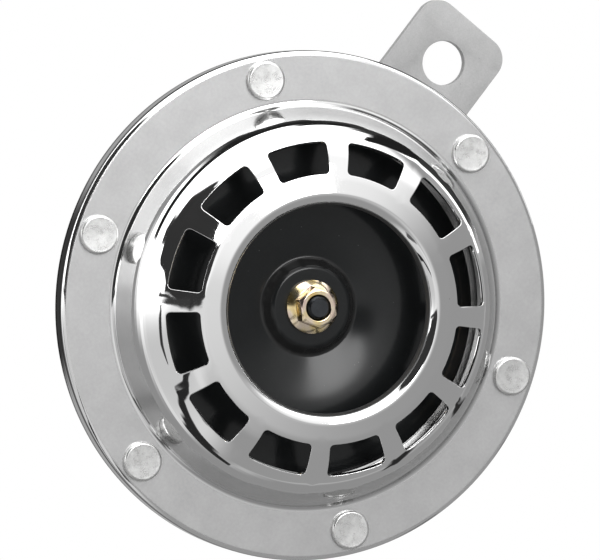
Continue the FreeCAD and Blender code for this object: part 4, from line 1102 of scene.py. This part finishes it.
def flange_nut():
    """Rings of columns, closed both ways, so its faces are clean enough for soft edges."""
    spots, faces = [], []
    for column in range(NUT_COLUMNS):
        angle = 360 * column / NUT_COLUMNS
        spots += [clock(reach, angle, z) for reach, z in nut_column(angle)]
    rows = len(spots) // NUT_COLUMNS
    for column in range(NUT_COLUMNS):
        here, there = column * rows, (column + 1) % NUT_COLUMNS * rows
        for row in range(rows):
            after = (row + 1) % rows
            faces.append((here + row, here + after, there + after, there + row))
    return mesh_of("flange_nut", spots, faces)


nut = tidy(moved(flange_nut(), angle=NUT_ANGLE), 20.0)
nut = place("flange_nut", nut, "vibrating_unit", "tone_disc_nut", nut_zinc)
edge_softened(nut, 0.08, 20.0)

# %% [markdown]
# ## Threads
# A thread is a rule: the radius falls and rises once a pitch, and the start of each turn
# moves on with the angle. So a plain grid is bent into a tube by a tree whose inputs are the
# screw's sizes. The tip is turned down, as a thread's end is.

# %% The thread tree
CREST, FLANK_SLOPE, THREAD_DEPTH = 0.42, 2.9, 0.61
STEPS_IN_PITCH = 9


def thread_tree():
    tree = bpy.data.node_groups.new("screw_thread", "GeometryNodeTree")
    tree.interface.new_socket("Mesh", in_out="INPUT", socket_type="NodeSocketGeometry")
    for key in ("Radius", "Depth", "Pitch", "Low", "High", "Tip"):
        tree.interface.new_socket(key, in_out="INPUT", socket_type="NodeSocketFloat")
    for key in ("Around", "Along"):
        tree.interface.new_socket(key, in_out="INPUT", socket_type="NodeSocketInt")
    tree.interface.new_socket("Finish", in_out="INPUT", socket_type="NodeSocketMaterial")
    tree.interface.new_socket("Mesh", in_out="OUTPUT", socket_type="NodeSocketGeometry")
    given = tree.nodes.new("NodeGroupInput").outputs
    result = tree.nodes.new("NodeGroupOutput").inputs
    sizes = {"Size X": 1.0, "Size Y": 1.0, "Vertices X": given["Around"], "Vertices Y": given["Along"]}
    grid = add(tree, "GeometryNodeMeshGrid", sizes).outputs["Mesh"]
    spot = add(tree, "GeometryNodeInputPosition").outputs[0]
    parts = add(tree, "ShaderNodeSeparateXYZ", {0: spot}).outputs
    share = math_node(tree, "ADD", parts["X"], 0.5)
    climb = math_node(tree, "ADD", parts["Y"], 0.5)
    length = math_node(tree, "SUBTRACT", given["High"], given["Low"])
    level = math_node(tree, "MULTIPLY_ADD", climb, length, given["Low"])
    phase = math_node(tree, "ADD", math_node(tree, "DIVIDE", level, given["Pitch"]), share)
    wave = math_node(tree, "PINGPONG", phase, 0.5)
    flank = math_node(tree, "SUBTRACT", CREST, wave)
    flank = math_node(tree, "MULTIPLY", flank, FLANK_SLOPE, clamp=True)
    groove = math_node(tree, "MULTIPLY", flank, given["Depth"])
    reach = math_node(tree, "SUBTRACT", given["Radius"], groove)
    left = math_node(tree, "SUBTRACT", given["High"], level)
    tapered = math_node(tree, "ADD", math_node(tree, "SUBTRACT", given["Radius"], given["Tip"]), left)
    reach = math_node(tree, "MINIMUM", reach, tapered)
    angle = math_node(tree, "MULTIPLY", share, 2 * math.pi)
    x = math_node(tree, "MULTIPLY", math_node(tree, "SINE", angle), reach)
    y = math_node(tree, "MULTIPLY", math_node(tree, "COSINE", angle), reach)
    place_in_tube = add(tree, "ShaderNodeCombineXYZ", {"X": x, "Y": y, "Z": level}).outputs[0]
    tube = add(tree, "GeometryNodeSetPosition", {"Geometry": grid, "Position": place_in_tube})
    weld = add(tree, "GeometryNodeMergeByDistance", {"Geometry": tube.outputs[0], "Distance": 0.0005})
    real = add(tree, "GeometryNodeRealizeInstances", {"Geometry": weld.outputs[0]})
    inputs = {"Geometry": real.outputs[0], "Material": given["Finish"]}
    dressed = add(tree, "GeometryNodeSetMaterial", inputs)
    tree.links.new(dressed.outputs[0], result["Mesh"])
    return tree


THREAD = thread_tree()


def thread(radius, pitch, low, high, tip, finish, around=56):
    """A threaded rod along the axis, closed at both ends, with its turned-down tip at high."""
    rows = round((high - low) / pitch * STEPS_IN_PITCH) + 1
    values = {
        "Radius": radius, "Depth": pitch * THREAD_DEPTH, "Pitch": pitch, "Low": low, "High": high,
        "Tip": tip, "Around": around + 1, "Along": rows, "Finish": finish,
    }
    mesh = grown(link("thread", bpy.data.meshes.new("thread_seed")), THREAD, **values)
    shape = bmesh.new()
    shape.from_mesh(mesh)
    bmesh.ops.holes_fill(shape, edges=shape.edges, sides=0)
    shape.to_mesh(mesh)
    shape.free()
    return tidy(mesh, 40.0)


# %% Screw through the vibrating unit
stud_run = [(0, -8.9), (4.2, -8.9, 0.3), (4.2, -6.9), (2.45, -6.9), (2.45, 6.4), (0, 6.4)]
shank = turned("stud_shank", rounded(stud_run), SOLID, 48)
tip = thread(2.48, 0.8, 6.4, 8.4, 0.5, stud_black)
stud = joined("screw", shank, tip)
place("armature_screw", stud, "vibrating_unit", "armature_stud", stud_black)

# %% [markdown]
# ## Bracket
# The bracket is blanked from 2 mm strip: round at the foot, rounded corners at the top and
# two holes. A flat curve with its holes as further splines fills and thickens itself, and its
# small bevel is the soft edge that the plating leaves. It is made a mesh before it is placed.

# %% Flat blanks
def blank(name, outlines, low, high, soft):
    """A plate from closed outlines in the horn's frame, the first one with the rest as holes."""
    flat = bpy.data.curves.new(name, "CURVE")
    flat.dimensions, flat.fill_mode = "2D", "BOTH"
    flat.extrude, flat.bevel_depth = (high - low) / 2 - soft, soft
    flat.bevel_resolution, flat.offset = 2, -soft
    for outline in outlines:
        spline = flat.splines.new("POLY")
        spline.points.add(len(outline) - 1)
        for point, spot in zip(spline.points, outline):
            point.co = (spot.x, spot.y, 0, 1)
        spline.use_cyclic_u = True
    holder = link(name, flat)
    mesh = evaluated(holder)
    bpy.data.objects.remove(holder)
    return tidy(moved(mesh, (0, 0, (low + high) / 2)), 30.0)


def circle(radius, height=0.0, count=96):
    """Points round a circle whose middle lies at a height on the y axis."""
    return [Vector((0, height, 0)) + clock(radius, 360 * k / count) for k in range(count)]


BRACKET_LOW, BRACKET_HIGH = -31.0, -29.0
HOLE_HEIGHT = 67.5
STRIP_HALF, STRIP_END = 11.7, 78.9
FOOT_ROUND, END_ROUND = 11.5, 5.0
strip = [(-STRIP_HALF, -STRIP_HALF, FOOT_ROUND), (STRIP_HALF, -STRIP_HALF, FOOT_ROUND)]
strip += [(STRIP_HALF, STRIP_END, END_ROUND), (-STRIP_HALF, STRIP_END, END_ROUND)]
outline = rounded(strip, math.radians(4), loop=True)
holes = [circle(4.1), circle(5.0, HOLE_HEIGHT)]
bracket = blank("bracket", [outline, *holes], BRACKET_LOW, BRACKET_HIGH, 0.18)
place("bracket_strip", bracket, "horn", "mounting_bracket", bracket_zinc)

# %% [markdown]
# ## Housing and fixings on the back
# The housing is drawn from 1 mm sheet like the cover, and painted. The core's thread comes
# out of its back and carries the bracket, between a backing washer, a flat washer, a spring
# washer and a nut. This nut is cut as a real one is: a hexagon bar meets a turned form that
# takes its corners off, and a drill goes through.

# %% Housing
housing_run = [
    (4.1, -27.5),
    (25.6, -27.5, 3.0),
    (27.0, -12.5, 1.5),
    (39.5, -12.5, 2.5),
    (41.5, -3.2, 1.2),
    (54.5, -3.2),
]
housing_skin = turned("housing", spaced(rounded(housing_run), 2.0), SKIN, 144)
housing = place("housing_pressing", housing_skin, "horn", "housing", housing_paint)
sheet_metal(housing, 1.0, 0.15)


# %% Washers
WASHER_ROUND = 0.25


def washer(name, inner, outer, low, high, node):
    corners = ((inner, low), (outer, low), (outer, high), (inner, high))
    run = [(*corner, WASHER_ROUND) for corner in corners]
    ring = turned(name, rounded(run, math.radians(20), loop=True), LOOP, 96)
    return place(name, ring, "horn", node, plated_steel)


washer("washer_behind_cup", 4.1, 11.0, -29.0, -27.5, "backing_washer")
washer("washer_on_bracket", 4.25, 8.0, -32.6, -31.0, "flat_washer")

# %% Spring washer
SLIT, SLIT_SLANT = 9.0, 8.0
SPRING_MIDDLE = -33.6
spring_corners = [(4.25, -34.6, 0.2), (7.2, -34.6, 0.2), (7.2, -32.6, 0.2), (4.25, -32.6, 0.2)]
spring_run = rounded(spring_corners, math.radians(30), loop=True)


def spring_washer():
    """A ring of square wire with a slanting slit, closed flat as under a tightened nut."""
    spots, faces = [], []
    columns, count = 90, len(spring_run)
    for column in range(columns + 1):
        for spot in spring_run:
            slant = (spot.y - SPRING_MIDDLE) * SLIT_SLANT
            angle = SLIT / 2 + (360 - SLIT) * column / columns + slant
            spots.append(clock(spot.x, angle, spot.y))
    for column in range(columns):
        for row in range(count):
            this, up = column * count + row, column * count + (row + 1) % count
            faces.append((this, up, up + count, this + count))
    faces += [tuple(range(count))[::-1], tuple(range(columns * count, (columns + 1) * count))]
    return tidy(mesh_of("spring_washer", spots, faces), 40.0)


place("split_washer", spring_washer(), "horn", "spring_washer", plated_steel)

# %% Core and its thread
core_run = [(0, -26.5), (8.0, -26.5), (8.0, -9.7, 0.5), (0, -9.7)]
core = turned("core", rounded(core_run), SOLID, 64)
mount_thread = thread(3.95, 1.25, 26.0, 44.5, 0.9, plated_steel, 64)
mount_thread.transform(Matrix.Rotation(math.pi, 4, "X"))
core_and_stud = joined("core_stud", core, mount_thread)
place("core_and_stud", core_and_stud, "horn", "core_stud", plated_steel)


# %% Bracket nut
def cut(base, tool, operation):
    """One mesh cut by, met with or joined to another."""
    first, second = link("base", base), link("tool", tool)
    step = first.modifiers.new("cut", "BOOLEAN")
    step.object, step.operation, step.solver = second, operation, "EXACT"
    mesh = evaluated(first)
    bpy.data.objects.remove(first)
    bpy.data.objects.remove(second)
    return mesh


def hexagon_bar(across, low, high):
    reach = across / math.sqrt(3)
    spots = [clock(reach, 60 * k, level) for level in (low, high) for k in range(6)]
    faces = [tuple(range(6))[::-1], tuple(range(6, 12))]
    faces += [(k, (k + 1) % 6, (k + 1) % 6 + 6, k + 6) for k in range(6)]
    return tidy(mesh_of("hexagon_bar", spots, faces), 20.0)


def chamfered_bar(across, low, high):
    """A hexagon whose corners are turned down at both ends."""
    face, reach = across * 0.475, across * 0.62
    drop = (reach - face) * math.tan(math.radians(30))
    form = [(0, low), (face, low), (reach, low + drop), (reach, high - drop), (face, high), (0, high)]
    turned_form = turned("corner_form", [Vector(spot) for spot in form], SOLID, 96)
    return cut(hexagon_bar(across, low, high), turned_form, "INTERSECT")


def bored(mesh, radius, low, high, sink):
    """Drills a hole and countersinks both of its ends."""
    wide, past = radius + sink, radius + sink + 1
    run = [(0, low - 1), (past, low - 1), (wide, low), (radius, low + sink)]
    run += [(radius, high - sink), (wide, high), (past, high + 1), (0, high + 1)]
    return cut(mesh, turned("drill", [Vector(spot) for spot in run], SOLID, 64), "DIFFERENCE")


BIG_NUT_LOW, BIG_NUT_HIGH = -41.1, -34.6
big_nut = chamfered_bar(13.0, BIG_NUT_LOW, BIG_NUT_HIGH)
big_nut = tidy(bored(big_nut, 4.0, BIG_NUT_LOW, BIG_NUT_HIGH, 0.5), 20.0)
big_nut = place("mounting_nut", big_nut, "horn", "bracket_nut", plated_steel)
edge_softened(big_nut, 0.2, 24.0)

# %% [markdown]
# ## Small things on the ledge
# Round the magnet's cup the housing has a ledge. On its back sit rivet heads, the sealed
# adjusting screw in its bush, and the terminal block with its two blades.

# %% Rivet heads
LEDGE_BACK, LEDGE_FRONT = -12.5, -11.5
PLATE_FRONT, ARM_FRONT, BLOCK_BACK = -10.0, -6.3, -19.0
LEDGE_MIDDLE = 33.25


def small_rivets(name, node, shank, head, height, low, high, places):
    """Domed heads behind low, flatter ones in front of high, and a shank between them."""
    run = [(0, low - height), (head * 0.55, low - height, head), (head, low - height * 0.45, 0.25)]
    run += [(head, low), (shank, low), (shank, high), (head, high), (head, high + height, 0.3)]
    run.append((0, high + height))
    form = turned(name, rounded(run, math.radians(12)), SOLID, 40)
    mesh = copies(name, form, [(Vector(spot), 0.0) for spot in places], rivet_steel, spin=3.0)
    return place(name, mesh, "horn", node, rivet_steel)


plate_places = [clock(LEDGE_MIDDLE, 15 + 120 * k) for k in range(3)]
small_rivets(
    "plate_rivet_heads", "pole_plate_rivets", 1.5, 2.6, 0.9, LEDGE_BACK, PLATE_FRONT, plate_places
)
contact_places = [(30.1, 0, 0), (34.9, 0, 0)]
small_rivets(
    "contact_rivet_heads", "contact_rivets", 1.2, 1.7, 0.8, LEDGE_BACK, ARM_FRONT, contact_places
)
terminal_places = [(-12.4, -32.6, 0), (12.4, -32.6, 0)]
small_rivets(
    "terminal_rivet_heads", "terminal_rivets", 1.5, 2.5, 0.9, BLOCK_BACK, LEDGE_FRONT, terminal_places
)

# %% Adjusting screw and bush
screw_spot = Vector((29.33, -15.66, 0))
bush_run = [(2.05, -13.9, 0.15), (4.1, -13.9, 0.3), (4.1, -12.5), (3.1, -12.5), (3.1, -9.5), (2.05, -9.5)]
bush = turned("bush", rounded(bush_run, math.radians(20), loop=True), LOOP, 56)
place("screw_bush", moved(bush, screw_spot), "horn", "adjuster_bush", plated_steel)

head_run = [(0, -17.3), (3.4, -17.3, 0.3), (3.4, -15.1, 0.15), (2.0, -15.1), (2.0, -8.3), (0, -8.3)]
screw = turned("screw", rounded(head_run, math.radians(20)), SOLID, 56)
screw_slot = box((-5.0, 5.0), (-0.45, 0.45), -18.0, -16.2)
screw = moved(cut(screw, screw_slot, "DIFFERENCE"), screw_spot)
screw = place("slotted_screw", screw, "horn", "adjusting_screw", plated_steel)
edge_softened(screw, 0.08, 40.0, 2)

# %% Terminal block and blades
BLADE_MIDDLE = -33.9
BLADE_SIDES = (-5.5, 5.5)
BLADE_HALF, BLADE_THICK = 3.15, 0.8
block_corners = [(-15.5, -38.2, 1.2), (15.5, -38.2, 1.2), (15.5, -30.4, 1.2), (-15.5, -30.4, 1.2)]
block_outline = rounded(block_corners, math.radians(10), loop=True)
blade_gaps = []
for middle in BLADE_SIDES:
    left, right = middle - BLADE_HALF, middle + BLADE_HALF
    back, front = BLADE_MIDDLE - BLADE_THICK / 2, BLADE_MIDDLE + BLADE_THICK / 2
    gap = [(left, back), (right, back), (right, front), (left, front)]
    blade_gaps.append([Vector(spot) for spot in gap])
block = blank("block", [block_outline, *blade_gaps], BLOCK_BACK, LEDGE_BACK, 0.3)
neck = box((-9.3, 9.3), (-35.6, -32.2), -12.6, -10.1)
carrier = joined("terminal_block", block, neck)
place("terminal_carrier", carrier, "horn", "terminal_block", block_plastic)

blade_run = [(-2.15, -27.5), (2.15, -27.5), (3.15, -26.5), (3.15, -8.5), (-3.15, -8.5), (-3.15, -26.5)]
blade_outlines = [[Vector((*spot, 0)) for spot in blade_run], circle(0.85, -23.4, 32)]
blade = blank("blade", blade_outlines, -BLADE_THICK / 2, BLADE_THICK / 2, 0.12)
blade.transform(Matrix.Rotation(math.pi / 2, 4, "X"))
blade_places = [(Vector((x, BLADE_MIDDLE, 0)), 0.0) for x in BLADE_SIDES]
blades = copies("blades", blade, blade_places, terminal_brass)
place("blade_terminals", blades, "horn", "spade_terminals", terminal_brass)

# %% [markdown]
# ## Solids that stay
# What lies inside, or is a plain ring in truth, keeps its solid and only gets its finish.

# %% Finish the solids
FINISHES = {
    "front_gasket": gasket_fibre,
    "rear_gasket": gasket_fibre,
    "diaphragm": diaphragm_steel,
    "diaphragm_front_washer": plated_steel,
    "diaphragm_rear_washer": plated_steel,
    "tone_disc_spacer": plated_steel,
    "armature": soft_iron,
    "pole_plate": soft_iron,
    "coil_bobbin": bobbin_plastic,
    "coil_winding": copper_wire,
    "contact_spring": spring_bronze,
    "fixed_contact_arm": plated_steel,
    "base_insulator": insulator_fibre,
    "middle_insulator": insulator_fibre,
    "top_insulator": insulator_fibre,
    "moving_contact": contact_metal,
    "fixed_contact": contact_metal,
    "adjuster_cap": insulator_fibre,
}
for node, finish in FINISHES.items():
    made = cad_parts[node]
    made.data.materials.clear()
    made.data.materials.append(finish)
print("solids that stay:", len(FINISHES))
